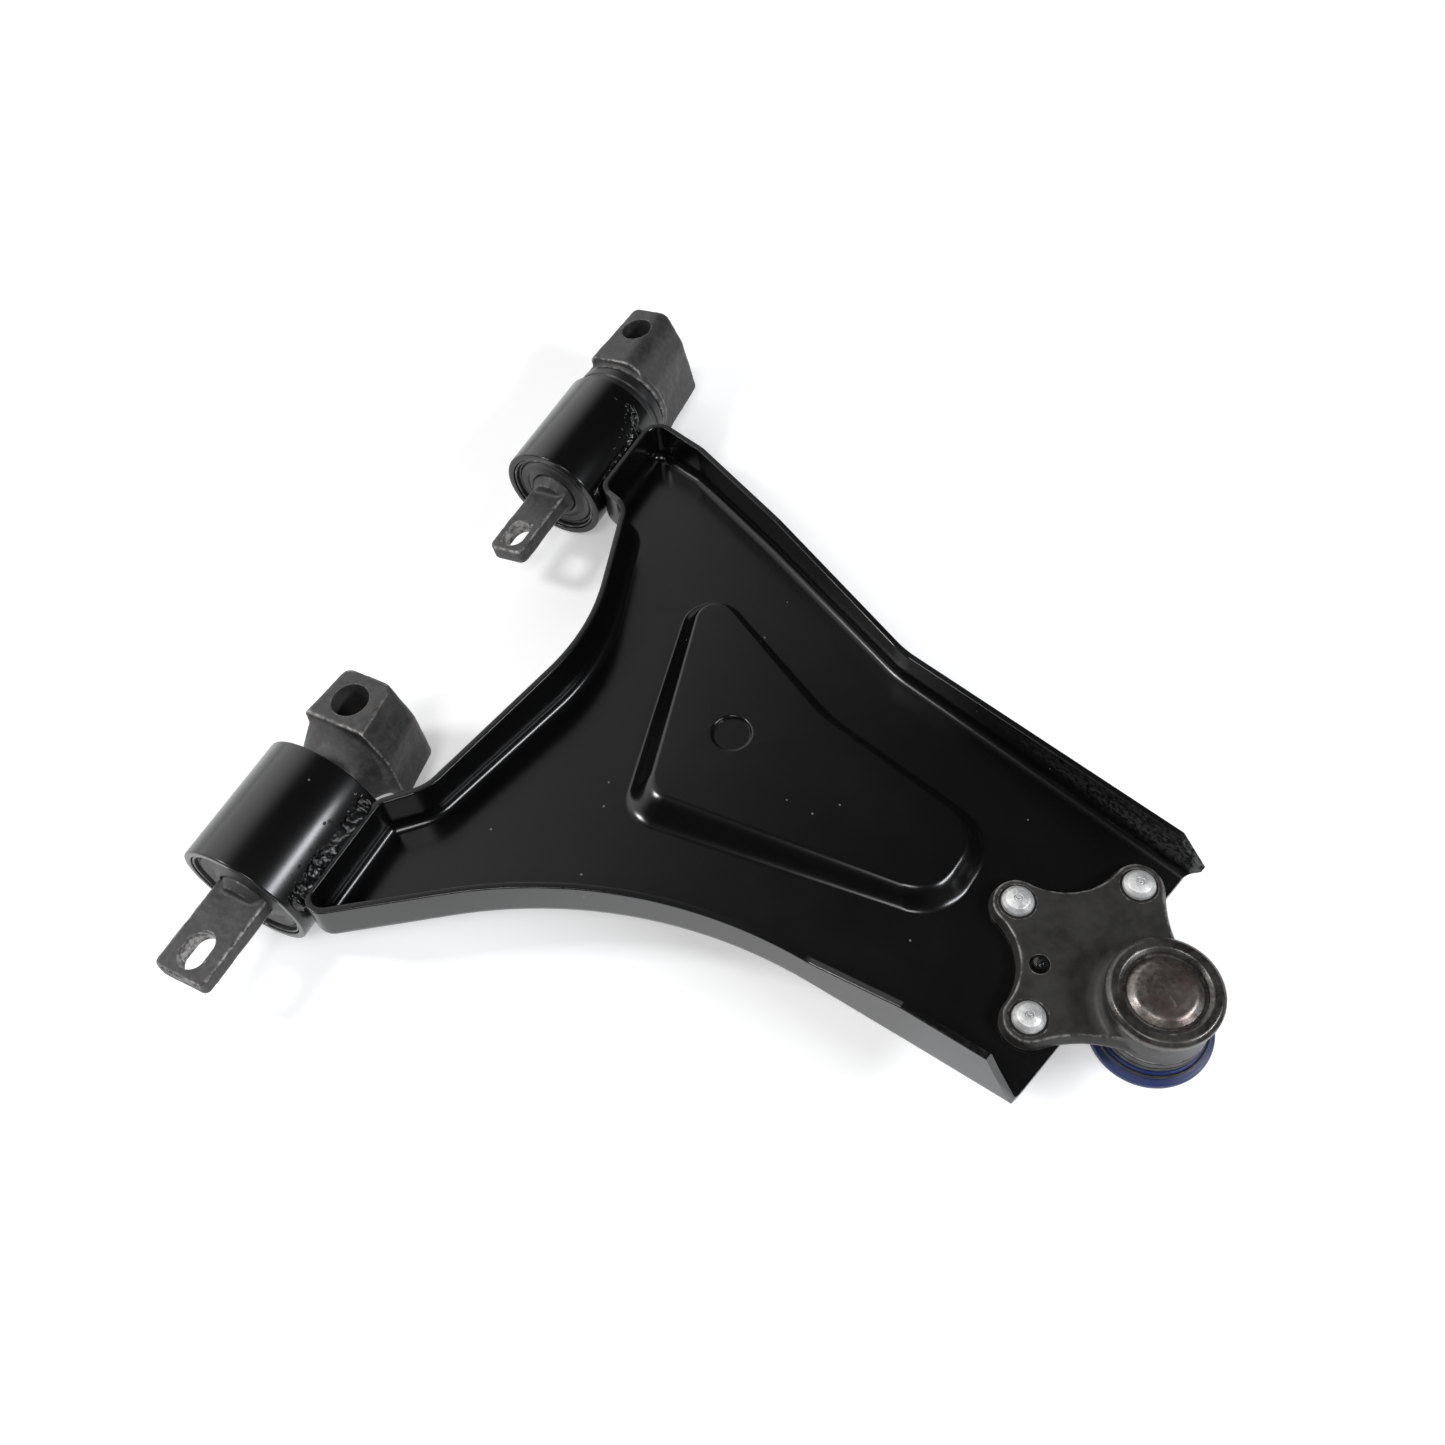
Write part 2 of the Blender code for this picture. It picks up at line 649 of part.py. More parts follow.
def housing():
    """Forged plate with three lobes and the cup, whose rolled edge holds the cap."""
    inner, left, right = [spot.to_2d() for spot in rivet_spots()]
    lobes = [
        (Vector((0, 0)), CUP_RADIUS),
        (left, LOBE_RADIUS),
        (inner, LOBE_RADIUS),
        (right, LOBE_RADIUS),
    ]
    waists = [NECK_WAIST_RADIUS, WAIST_RADIUS, WAIST_RADIUS, NECK_WAIST_RADIUS]
    outline = lobed_outline(lobes, waists, 18)
    plate = flat_solid("ball_joint_housing", outline, PLATE_BOTTOM, PLATE_BOTTOM + PLATE_THICKNESS,
                       PLATE, FORGED)
    edges = plate.modifiers.new("soft_edges", "BEVEL")
    edges.width = 0.0010
    edges.segments = 1
    edges.limit_method = "ANGLE"
    edges.angle_limit = math.radians(60)
    cup = turned("cup", [
        (0, 0.0113),
        (ROLL_BORE, 0.0113),
        (0.0205, 0.0125),
        (0.0235, 0.0120),
        (0.0252, 0.0104),
        (0.0255, 0.0085),
        (0.0250, 0.0060),
        (CUP_RADIUS, 0.0035),
        (CUP_RADIUS, -0.0180),
        (CUP_RADIUS - 0.0012, CUP_BOTTOM),
        (BOOT_NECK_RADIUS, CUP_BOTTOM),
        (BOOT_NECK_RADIUS, CUP_BOTTOM - 0.0040),
        (0, CUP_BOTTOM - 0.0040),
    ], PLATE, steps=36)
    pip = turned("locating_pip", [
        (0, 0.0002),
        (0.0030, 0.0000),
        (0.0042, -0.0016),
        (0.0042, -0.0060),
        (0, -0.0060),
    ], PLATE, steps=16, location=PIP_PLACE)
    combine(plate, [cup, pip], "UNION")
    cavity = turned("cavity", [
        (0, 0.0200),
        (ROLL_BORE, 0.0200),
        (ROLL_BORE, ROLL_UNDERSIDE),
        (CAP_RADIUS + GAP, ROLL_UNDERSIDE),
        (CAP_RADIUS + GAP, CAP_LEDGE),
        (SEAT_RADIUS + GAP, CAP_LEDGE),
        (SEAT_RADIUS + GAP, SEAT_BOTTOM - GAP),
        (MOUTH_RADIUS, SEAT_BOTTOM - GAP),
        (MOUTH_RADIUS + MOUTH_FLARE, -0.0300),
        (0, -0.0300),
    ], PLATE, steps=36)
    combine(plate, [cavity] + rivet_holes("plate_hole"))
    return plate


def cup_contents():
    """The cap, the two seats round the ball and the spring that presses them together."""
    turned("ball_joint_cap", [
        (0, 0.0130),
        (0.0118, 0.0130),
        (0.0146, 0.0122),
        (0.0163, 0.0108),
        (0.0168, ROLL_UNDERSIDE - GAP),
        (CAP_RADIUS, ROLL_UNDERSIDE - GAP),
        (CAP_RADIUS, CAP_LEDGE + GAP),
        (0, CAP_LEDGE + GAP),
    ], PLATE, FORGED, steps=36)

    ball_room = BALL_RADIUS + GAP
    lower = sphere_arc(ball_room, BALL_CENTRE_Z, BALL_CENTRE_Z - GAP, BALL_CENTRE_Z - 0.0085, 4)
    turned("lower_ball_seat", [
        (SEAT_RADIUS, BALL_CENTRE_Z - GAP),
        (SEAT_RADIUS, SEAT_BOTTOM),
        (0.0125, SEAT_BOTTOM),
    ] + list(reversed(lower)), PLATE, SEAT_PLASTIC, closed=True, steps=32)
    upper = sphere_arc(ball_room, BALL_CENTRE_Z, SEAT_TOP, BALL_CENTRE_Z + GAP, 4)
    turned("upper_ball_seat", [
        (SEAT_RADIUS, SEAT_TOP),
        (SEAT_RADIUS, BALL_CENTRE_Z + GAP),
    ] + list(reversed(upper)), PLATE, SEAT_PLASTIC, closed=True, steps=32)
    turned("preload_spring", [
        (0.0122, 0.0070),
        (SEAT_RADIUS - GAP, SEAT_TOP + 0.0016),
        (SEAT_RADIUS - GAP, SEAT_TOP + GAP),
        (0.0112, 0.0058),
    ], PLATE, GROUND_STEEL, closed=True, steps=32)


def ball_stud():
    """Ball, neck, collar for the boot, taper and thread end, turned in one piece."""
    ball_top = BALL_CENTRE_Z + BALL_RADIUS
    ball = sphere_arc(BALL_RADIUS, BALL_CENTRE_Z, ball_top, BALL_CENTRE_Z - 0.0118, 9)
    turned("ball_stud", [(0, ball_top)] + ball[1:] + [
        (STUD_NECK, BALL_CENTRE_Z - 0.0140),
        (STUD_NECK, -0.0370),
        (STUD_COLLAR, -0.0400),
        (STUD_COLLAR, -0.0480),
        (0.0076, -0.0600),
        (0.0060, -0.0606),
        (0.0060, STUD_TIP + 0.0012),
        (0.0048, STUD_TIP),
        (0, STUD_TIP),
    ], BALL, GROUND_STEEL, steps=28, location=FROM_BALL)


def wire_section(radius, height):
    """Section of a round wire ring: its middle's radius and height."""
    ring = arc_points(Vector((radius, height)), RING_WIRE_RADIUS, 0, -2 * math.pi, 6)[:-1]
    return [(p.x, p.y) for p in ring]


def dust_boot():
    """The rubber boot between the cup's step and the stud's collar, and its two wire rings."""
    lip_bore = STUD_COLLAR + GAP * 2
    outer_side = [
        (0.0240, CUP_BOTTOM - GAP),
        (0.0245, -0.0255),
        (0.0285, -0.0275),
        (0.0285, -0.0300),
        (0.0235, -0.0350),
        (0.0195, -0.0400),
        (0.0130, -0.0430),
        (0.0116, -0.0440),
        (0.0116, BOOT_LIP_BOTTOM),
    ]
    inner_side = [
        (lip_bore, BOOT_LIP_BOTTOM),
        (lip_bore, -0.0425),
        (0.0175, -0.0385),
        (0.0215, -0.0340),
        (0.0262, -0.0295),
        (0.0262, -0.0285),
        (BOOT_NECK_RADIUS + GAP, -0.0268),
        (BOOT_NECK_RADIUS + GAP, CUP_BOTTOM - GAP),
    ]
    turned("dust_boot", outer_side + inner_side, BALL, BLUE_RUBBER, closed=True, steps=32,
           location=FROM_BALL)
    turned("boot_upper_ring", wire_section(0.0254, -0.0240), PLATE, ZINC, closed=True, steps=28)
    turned("boot_lower_ring", wire_section(0.0128, -0.0463), BALL, ZINC, closed=True, steps=28,
           location=FROM_BALL)


def rivets():
    head_base = PLATE_BOTTOM + PLATE_THICKNESS + GAP
    tail_top = WEB_TOP - SHEET - GAP
    for n, spot in enumerate(rivet_spots(), 1):
        turned(f"rivet_{n}", [
            (0, head_base + 0.0047),
            (0.0028, head_base + 0.0043),
            (0.0055, head_base + 0.0032),
            (0.0074, head_base + 0.0014),
            (0.0076, head_base),
            (RIVET_SHANK, head_base),
            (RIVET_SHANK, tail_top),
            (0.0070, tail_top),
            (0.0066, tail_top - 0.0025),
            (0.0040, tail_top - 0.0040),
            (0, tail_top - 0.0040),
        ], PLATE, ZINC, steps=20, location=spot)


def main():
    arm_pressing()
    bush("rear", REAR_TUBE, 0)
    bush("front", FRONT_TUBE, FRONT_RUBBER_REACH)
    bar_pin("rear_bar_pin", REAR_PIN_SPEC, REAR_PIN)
    bar_pin("front_bar_pin", FRONT_PIN_SPEC, FRONT_PIN)
    tube_weld("rear_weld_bead", REAR_WELD)
    tube_weld("front_weld_bead", FRONT_WELD)
    housing()
    cup_contents()
    ball_stud()
    dust_boot()
    rivets()


main()
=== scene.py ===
import math
import random

import bmesh
import bpy
from mathutils import Matrix, Vector, noise


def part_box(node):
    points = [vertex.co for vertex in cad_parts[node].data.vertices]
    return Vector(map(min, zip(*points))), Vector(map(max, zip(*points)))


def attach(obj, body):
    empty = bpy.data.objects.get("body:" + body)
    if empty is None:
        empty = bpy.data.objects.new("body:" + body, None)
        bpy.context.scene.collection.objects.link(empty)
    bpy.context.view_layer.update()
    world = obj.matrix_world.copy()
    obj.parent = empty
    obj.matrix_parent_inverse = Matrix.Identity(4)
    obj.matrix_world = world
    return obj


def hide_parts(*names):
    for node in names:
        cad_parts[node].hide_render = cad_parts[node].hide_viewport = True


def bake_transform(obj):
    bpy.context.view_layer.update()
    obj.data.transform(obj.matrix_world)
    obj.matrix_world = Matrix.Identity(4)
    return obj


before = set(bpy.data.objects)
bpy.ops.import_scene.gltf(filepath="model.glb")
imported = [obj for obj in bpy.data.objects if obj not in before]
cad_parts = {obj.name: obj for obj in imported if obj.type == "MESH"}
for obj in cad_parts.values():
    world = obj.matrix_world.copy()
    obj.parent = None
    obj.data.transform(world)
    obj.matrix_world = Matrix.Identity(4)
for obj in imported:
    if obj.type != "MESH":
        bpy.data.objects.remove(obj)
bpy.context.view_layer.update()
print("frame loaded:", len(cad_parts), "nodes")

# where things are: the middles come from the frame, the turns are the arm's own

# degrees: the plate turns about Z, the pins about the bush axis
tilts = {"plate": -14, "rearPin": -4, "frontPin": -11}


def turned(degrees, axis):
    return Matrix.Rotation(math.radians(degrees), 4, axis)


def boxMiddle(node):
    low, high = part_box(node)
    return (low + high) / 2


bushMiddle = boxMiddle("rear_bush_tube")
ballMiddle = boxMiddle("ball_joint_cap")
armOrigin = Vector((bushMiddle.x, ballMiddle.y, bushMiddle.z))  # on the bush axis, level with the ball joint
armPlace = Matrix.Translation(armOrigin)
platePlace = Matrix.Translation((ballMiddle.x, ballMiddle.y, bushMiddle.z)) @ turned(tilts["plate"], "Z")
rearPinPlace = armPlace @ turned(tilts["rearPin"], "Y")
frontPinPlace = armPlace @ turned(tilts["frontPin"], "Y")
alongBush = turned(-90, "X")  # turns a lathe's own height onto the bush axis
noMove = Matrix.Identity(4)


# shader helpers and the shared effect groups

def plug(tree, source, target):
    tree.links.new(source, target)


def feed(tree, value, socket):
    # a plain number goes on the socket itself, anything else is linked to it
    if isinstance(value, (int, float)):
        socket.default_value = value
    else:
        plug(tree, value, socket)


def newGroup(name, takes, gives):
    group = bpy.data.node_groups.new(name, "ShaderNodeTree")
    for label, value in takes:
        socket = group.interface.new_socket(label, in_out="INPUT", socket_type="NodeSocketFloat")
        socket.default_value = value
    for label in gives:
        group.interface.new_socket(label, in_out="OUTPUT", socket_type="NodeSocketFloat")
    return group, group.nodes.new("NodeGroupInput"), group.nodes.new("NodeGroupOutput")


def mathNode(tree, operation, first, second):
    node = tree.nodes.new("ShaderNodeMath")
    node.operation = operation
    feed(tree, first, node.inputs[0])
    feed(tree, second, node.inputs[1])
    return node.outputs[0]


def remap(tree, value, low, high, newLow=0.0, newHigh=1.0):
    node = tree.nodes.new("ShaderNodeMapRange")
    node.interpolation_type = "SMOOTHSTEP"
    for label, given in (("From Min", low), ("From Max", high), ("To Min", newLow), ("To Max", newHigh)):
        feed(tree, given, node.inputs[label])
    plug(tree, value, node.inputs["Value"])
    return node.outputs["Result"]


def objectNoise(tree, scale, detail=4.0, rough=0.55):
    place = tree.nodes.new("ShaderNodeTexCoord").outputs["Object"]
    node = tree.nodes.new("ShaderNodeTexNoise")
    plug(tree, place, node.inputs["Vector"])
    node.inputs["Detail"].default_value = detail
    node.inputs["Roughness"].default_value = rough
    feed(tree, scale, node.inputs["Scale"])
    return node.outputs[0]


def patchesGroup():
    # soft patches: where a noise lies above Low it fades in up to High
    group, given, out = newGroup("softPatches", [("Scale", 20.0), ("Low", 0.45), ("High", 0.65)], ["Mask"])
    cloud = objectNoise(group, given.outputs["Scale"], detail=6.0, rough=0.62)
    plug(group, remap(group, cloud, given.outputs["Low"], given.outputs["High"]), out.inputs["Mask"])
    return group


def edgesGroup():
    # outward edges get a mask for edge wear together with a painted edge highlight, inward ones a mask for
    # painted shade; both are broken up by noise
    takes = [("Start", 0.52), ("End", 0.60), ("Breakup", 300.0)]
    takes += [("Hollow Start", 0.485), ("Hollow End", 0.43)]
    group, given, out = newGroup("edgeWearAndShading", takes, ["Worn", "Painted Shade"])
    bend = group.nodes.new("ShaderNodeNewGeometry").outputs["Pointiness"]
    ragged = objectNoise(group, given.outputs["Breakup"], detail=5.0, rough=0.7)
    edge = remap(group, bend, given.outputs["Start"], given.outputs["End"])
    broken = remap(group, ragged, 0.38, 0.62)
    plug(group, mathNode(group, "MULTIPLY", edge, broken), out.inputs["Worn"])
    hollow = remap(group, bend, given.outputs["Hollow Start"], given.outputs["Hollow End"])
    plug(group, hollow, out.inputs["Painted Shade"])
    return group


def specksGroup():
    # scattered dots of dust or spatter
    # Size is the dot's share of its cell, Amount the share of cells that hold one
    takes = [("Scale", 400.0), ("Size", 0.16), ("Amount", 0.25)]
    group, given, out = newGroup("dustSpecks", takes, ["Mask"])
    place = group.nodes.new("ShaderNodeTexCoord").outputs["Object"]
    cells = group.nodes.new("ShaderNodeTexVoronoi")
    plug(group, place, cells.inputs["Vector"])
    plug(group, given.outputs["Scale"], cells.inputs["Scale"])
    dot = mathNode(group, "LESS_THAN", cells.outputs["Distance"], given.outputs["Size"])
    pick = group.nodes.new("ShaderNodeSeparateColor")
    plug(group, cells.outputs["Color"], pick.inputs["Color"])
    chosen = mathNode(group, "LESS_THAN", pick.outputs[0], given.outputs["Amount"])
    plug(group, mathNode(group, "MULTIPLY", dot, chosen), out.inputs["Mask"])
    return group


def skinGroup():
    # two noises added up as a height: broad waves and fine grain
    takes = [("Wave Scale", 25.0), ("Grain Scale", 900.0), ("Grain Share", 0.3)]
    group, given, out = newGroup("unevenSkin", takes, ["Height"])
    wave = objectNoise(group, given.outputs["Wave Scale"], detail=2.0)
    grain = objectNoise(group, given.outputs["Grain Scale"], detail=4.0, rough=0.6)
    scaled = mathNode(group, "MULTIPLY", grain, given.outputs["Grain Share"])
    plug(group, mathNode(group, "ADD", wave, scaled), out.inputs["Height"])
    return group


softPatches = patchesGroup()
edgeWearAndShading = edgesGroup()
dustSpecks = specksGroup()
unevenSkin = skinGroup()


def useGroup(tree, group, **values):
    node = tree.nodes.new("ShaderNodeGroup")
    node.node_tree = group
    for name, value in values.items():
        node.inputs[name.replace("_", " ")].default_value = value
    return node


def mixColour(tree, mask, first, second):
    node = tree.nodes.new("ShaderNodeMix")
    node.data_type = "RGBA"
    plug(tree, mask, node.inputs["Factor"])
    for socket, value in ((node.inputs[6], first), (node.inputs[7], second)):
        if isinstance(value, tuple):
            socket.default_value = (*value, 1.0)
        else:
            plug(tree, value, socket)
    return node.outputs[2]


def mixValue(tree, mask, first, second):
    node = tree.nodes.new("ShaderNodeMix")
    plug(tree, mask, node.inputs["Factor"])
    feed(tree, first, node.inputs[2])
    feed(tree, second, node.inputs[3])
    return node.outputs[0]


def startLook(name, metallic=0.0):
    look = bpy.data.materials.new(name)
    look.use_nodes = True
    shader = look.node_tree.nodes["Principled BSDF"]
    shader.inputs["Metallic"].default_value = metallic
    shader.inputs["IOR"].default_value = 1.5
    return look, look.node_tree, shader


def addBump(tree, shader, height, strength, distance):
    bump = tree.nodes.new("ShaderNodeBump")
    bump.inputs["Strength"].default_value = strength
    bump.inputs["Distance"].default_value = distance
    plug(tree, height, bump.inputs["Height"])
    plug(tree, bump.outputs["Normal"], shader.inputs["Normal"])


def paintLook(name, colours, finish):
    # stoved gloss paint: dust on it, rubbed edges that also carry a painted edge highlight, slight orange
    # peel
    look, tree, shader = startLook(name)
    dust = useGroup(tree, dustSpecks, Scale=finish["speckScale"], Size=0.12, Amount=finish["speckAmount"])
    haze = useGroup(tree, softPatches, Scale=finish["hazeScale"], Low=0.42, High=0.75)
    wearAndShading = useGroup(tree, edgeWearAndShading, Start=finish["wearAndHighlightStart"], End=finish["wearAndHighlightStart"] + 0.08, Breakup=420.0)
    colour = mixColour(tree, haze.outputs["Mask"], colours["film"], colours["haze"])
    colour = mixColour(tree, dust.outputs["Mask"], colour, colours["dust"])
    # paler colour on outward edges: edge wear and a painted edge highlight
    rubbedAndHighlight = mathNode(tree, "MULTIPLY", wearAndShading.outputs["Worn"], finish["wearAndHighlightShare"])
    colour = mixColour(tree, rubbedAndHighlight, colour, colours["rubbedAndHighlight"])
    plug(tree, colour, shader.inputs["Base Color"])
    gloss = mixValue(tree, haze.outputs["Mask"], finish["gloss"], finish["hazeGloss"])
    plug(tree, mixValue(tree, rubbedAndHighlight, gloss, 0.5), shader.inputs["Roughness"])
    skin = useGroup(tree, unevenSkin, Wave_Scale=finish["waveScale"], Grain_Scale=finish["peelScale"],
                    Grain_Share=finish["peelShare"])
    addBump(tree, shader, skin.outputs["Height"], finish["bump"], 0.0006)
    return look


def metalLook(name, colours, finish):
    # bare or phosphated steel: mottling, bright rubbed edges that also carry a painted edge highlight,
    # painted shade in the hollows, a little rust, pitted skin
    look, tree, shader = startLook(name, metallic=finish["metallic"])
    mottle = useGroup(tree, softPatches, Scale=finish["mottleScale"], Low=0.36, High=0.66)
    fine = useGroup(tree, softPatches, Scale=finish["mottleScale"] * 7, Low=0.40, High=0.62)
    wearAndShading = useGroup(tree, edgeWearAndShading, Start=finish["edgeStart"], End=finish["edgeEnd"],
                    Breakup=finish["breakup"])
    rust = useGroup(tree, softPatches, Scale=finish["rustScale"], Low=finish["rustLow"],
                    High=finish["rustLow"] + 0.1)
    colour = mixColour(tree, mottle.outputs["Mask"], colours["dark"], colours["light"])
    halfFine = mathNode(tree, "MULTIPLY", fine.outputs["Mask"], 0.45)
    colour = mixColour(tree, halfFine, colour, colours["fleck"])
    rusty = mathNode(tree, "MULTIPLY", rust.outputs["Mask"], finish["rustShare"])
    colour = mixColour(tree, rusty, colour, colours["rust"])
    # painted shade: a darker colour in inward edges and hollows
    shaded = mathNode(tree, "MULTIPLY", wearAndShading.outputs["Painted Shade"], 0.2)
    colour = mixColour(tree, shaded, colour, colours["hollow"])
    # paler colour on outward edges: edge wear and a painted edge highlight
    bright = wearAndShading.outputs["Worn"]
    colour = mixColour(tree, bright, colour, colours["rubbedAndHighlight"])
    plug(tree, colour, shader.inputs["Base Color"])
    gloss = mixValue(tree, mottle.outputs["Mask"], finish["roughLow"], finish["roughHigh"])
    gloss = mixValue(tree, bright, gloss, finish["rubbedRough"])
    plug(tree, gloss, shader.inputs["Roughness"])
    skin = useGroup(tree, unevenSkin, Wave_Scale=finish["waveScale"], Grain_Scale=finish["grainScale"],
                    Grain_Share=finish["grainShare"])
    addBump(tree, shader, skin.outputs["Height"], finish["bump"], finish["bumpDepth"])
    return look


def rubberLook(name, colours, finish):
    # moulded rubber or plastic: pale bloom in patches, dust on it and in its worn edges
    look, tree, shader = startLook(name)
    bloom = useGroup(tree, softPatches, Scale=finish["bloomScale"], Low=0.40, High=0.72)
    dust = useGroup(tree, dustSpecks, Scale=700.0, Size=0.12, Amount=0.12)
    wearAndShading = useGroup(tree, edgeWearAndShading, Start=0.53, End=0.66, Breakup=200.0)
    colour = mixColour(tree, bloom.outputs["Mask"], colours["base"], colours["bloom"])
    colour = mixColour(tree, dust.outputs["Mask"], colour, colours["dust"])
    dusty = mathNode(tree, "MULTIPLY", wearAndShading.outputs["Worn"], 0.5)
    colour = mixColour(tree, dusty, colour, colours["dust"])
    plug(tree, colour, shader.inputs["Base Color"])
    gloss = mixValue(tree, bloom.outputs["Mask"], finish["gloss"], finish["gloss"] + 0.18)
    plug(tree, gloss, shader.inputs["Roughness"])
    skin = useGroup(tree, unevenSkin, Wave_Scale=60.0, Grain_Scale=finish["grainScale"], Grain_Share=0.5)
    addBump(tree, shader, skin.outputs["Height"], finish["bump"], 0.0003)
    return look


# in the looks below, the colour for outward edges is edge wear with a painted edge highlight, and the colour
# for inward edges and hollows is painted shade
blackPaint = paintLook(
    "glossBlackPaint",
    {"film": (0.0028, 0.0028, 0.0030), "haze": (0.0038, 0.0037, 0.0038), "dust": (0.13, 0.125, 0.12),
     "rubbedAndHighlight": (0.16, 0.16, 0.155)},
    {"speckScale": 210.0, "speckAmount": 0.018, "hazeScale": 9.0, "wearAndHighlightShare": 0.40, "wearAndHighlightStart": 0.54,
     "gloss": 0.19, "hazeGloss": 0.25, "waveScale": 16.0, "peelScale": 700.0, "peelShare": 0.04,
     "bump": 0.10})
weldPaint = paintLook(
    "paintedWeld",
    {"film": (0.0025, 0.0025, 0.003), "haze": (0.006, 0.006, 0.006), "dust": (0.30, 0.29, 0.28),
     "rubbedAndHighlight": (0.10, 0.10, 0.10)},
    {"speckScale": 520.0, "speckAmount": 0.03, "hazeScale": 60.0, "wearAndHighlightShare": 0.25, "wearAndHighlightStart": 0.54,
     "gloss": 0.10, "hazeGloss": 0.20, "waveScale": 230.0, "peelScale": 1300.0, "peelShare": 0.35,
     "bump": 0.8})
forgedSteel = metalLook(
    "forgedSteel",
    {"dark": (0.030, 0.0285, 0.0285), "light": (0.050, 0.0475, 0.0475), "fleck": (0.070, 0.067, 0.066),
     "rust": (0.105, 0.055, 0.032), "hollow": (0.016, 0.015, 0.015), "rubbedAndHighlight": (0.30, 0.29, 0.28)},
    {"metallic": 0.30, "mottleScale": 42.0, "edgeStart": 0.508, "edgeEnd": 0.545, "breakup": 260.0,
     "rustScale": 60.0, "rustLow": 0.62, "rustShare": 0.55, "roughLow": 0.44,
     "roughHigh": 0.62, "rubbedRough": 0.36, "waveScale": 130.0, "grainScale": 1100.0, "grainShare": 0.6,
     "bump": 0.35, "bumpDepth": 0.0004})
housingSteel = metalLook(
    "housingSteel",
    {"dark": (0.018, 0.0172, 0.0162), "light": (0.029, 0.0275, 0.026), "fleck": (0.038, 0.036, 0.034),
     "rust": (0.07, 0.045, 0.03), "hollow": (0.012, 0.011, 0.011), "rubbedAndHighlight": (0.26, 0.25, 0.24)},
    {"metallic": 0.30, "mottleScale": 26.0, "edgeStart": 0.507, "edgeEnd": 0.54, "breakup": 180.0,
     "rustScale": 70.0, "rustLow": 0.66, "rustShare": 0.4, "roughLow": 0.40,
     "roughHigh": 0.52, "rubbedRough": 0.34, "waveScale": 90.0, "grainScale": 1500.0, "grainShare": 0.5,
     "bump": 0.22, "bumpDepth": 0.0003})
rollSteel = metalLook(
    "rolledEdgeSteel",
    {"dark": (0.040, 0.037, 0.034), "light": (0.080, 0.074, 0.069), "fleck": (0.13, 0.122, 0.114),
     "rust": (0.10, 0.07, 0.05), "hollow": (0.02, 0.019, 0.018), "rubbedAndHighlight": (0.42, 0.40, 0.38)},
    {"metallic": 0.75, "mottleScale": 60.0, "edgeStart": 0.53, "edgeEnd": 0.62, "breakup": 320.0,
     "rustScale": 60.0, "rustLow": 0.64, "rustShare": 0.4, "roughLow": 0.25,
     "roughHigh": 0.36, "rubbedRough": 0.22, "waveScale": 110.0, "grainScale": 1500.0, "grainShare": 0.5,
     "bump": 0.25, "bumpDepth": 0.0003})
capSteel = metalLook(
    "capSteel",
    {"dark": (0.075, 0.066, 0.060), "light": (0.150, 0.134, 0.124), "fleck": (0.25, 0.23, 0.215),
     "rust": (0.13, 0.085, 0.075), "hollow": (0.03, 0.028, 0.026), "rubbedAndHighlight": (0.48, 0.46, 0.44)},
    {"metallic": 0.8, "mottleScale": 70.0, "edgeStart": 0.53, "edgeEnd": 0.62, "breakup": 300.0,
     "rustScale": 50.0, "rustLow": 0.52, "rustShare": 0.45, "roughLow": 0.24,
     "roughHigh": 0.36, "rubbedRough": 0.2, "waveScale": 120.0, "grainScale": 1600.0, "grainShare": 0.5,
     "bump": 0.28, "bumpDepth": 0.0003})
zincSteel = metalLook(
    "brightZinc",
    {"dark": (0.42, 0.42, 0.425), "light": (0.58, 0.58, 0.575), "fleck": (0.72, 0.72, 0.71),
     "rust": (0.42, 0.40, 0.36), "hollow": (0.16, 0.16, 0.16), "rubbedAndHighlight": (0.84, 0.84, 0.84)},
    {"metallic": 0.50, "mottleScale": 150.0, "edgeStart": 0.54, "edgeEnd": 0.64, "breakup": 500.0,
     "rustScale": 240.0, "rustLow": 0.62, "rustShare": 0.4, "roughLow": 0.36,
     "roughHigh": 0.48, "rubbedRough": 0.28, "waveScale": 260.0, "grainScale": 1900.0, "grainShare": 0.5,
     "bump": 0.30, "bumpDepth": 0.0003})
wireSteel = metalLook(
    "blackenedWire",
    {"dark": (0.020, 0.020, 0.022), "light": (0.036, 0.036, 0.038), "fleck": (0.05, 0.05, 0.052),
     "rust": (0.05, 0.035, 0.025), "hollow": (0.01, 0.01, 0.01), "rubbedAndHighlight": (0.14, 0.14, 0.14)},
    {"metallic": 0.5, "mottleScale": 150.0, "edgeStart": 0.56, "edgeEnd": 0.66, "breakup": 500.0,
     "rustScale": 240.0, "rustLow": 0.66, "rustShare": 0.3, "roughLow": 0.40,
     "roughHigh": 0.50, "rubbedRough": 0.36, "waveScale": 260.0, "grainScale": 1900.0, "grainShare": 0.5,
     "bump": 0.20, "bumpDepth": 0.0003})
shellSteel = metalLook(
    "bushShellSteel",
    {"dark": (0.030, 0.030, 0.030), "light": (0.058, 0.058, 0.057), "fleck": (0.08, 0.08, 0.078),
     "rust": (0.07, 0.05, 0.035), "hollow": (0.012, 0.012, 0.012), "rubbedAndHighlight": (0.50, 0.49, 0.48)},
    {"metallic": 0.6, "mottleScale": 70.0, "edgeStart": 0.515, "edgeEnd": 0.56, "breakup": 140.0,
     "rustScale": 60.0, "rustLow": 0.62, "rustShare": 0.4, "roughLow": 0.30,
     "roughHigh": 0.42, "rubbedRough": 0.25, "waveScale": 110.0, "grainScale": 1500.0, "grainShare": 0.4,
     "bump": 0.2, "bumpDepth": 0.0003})
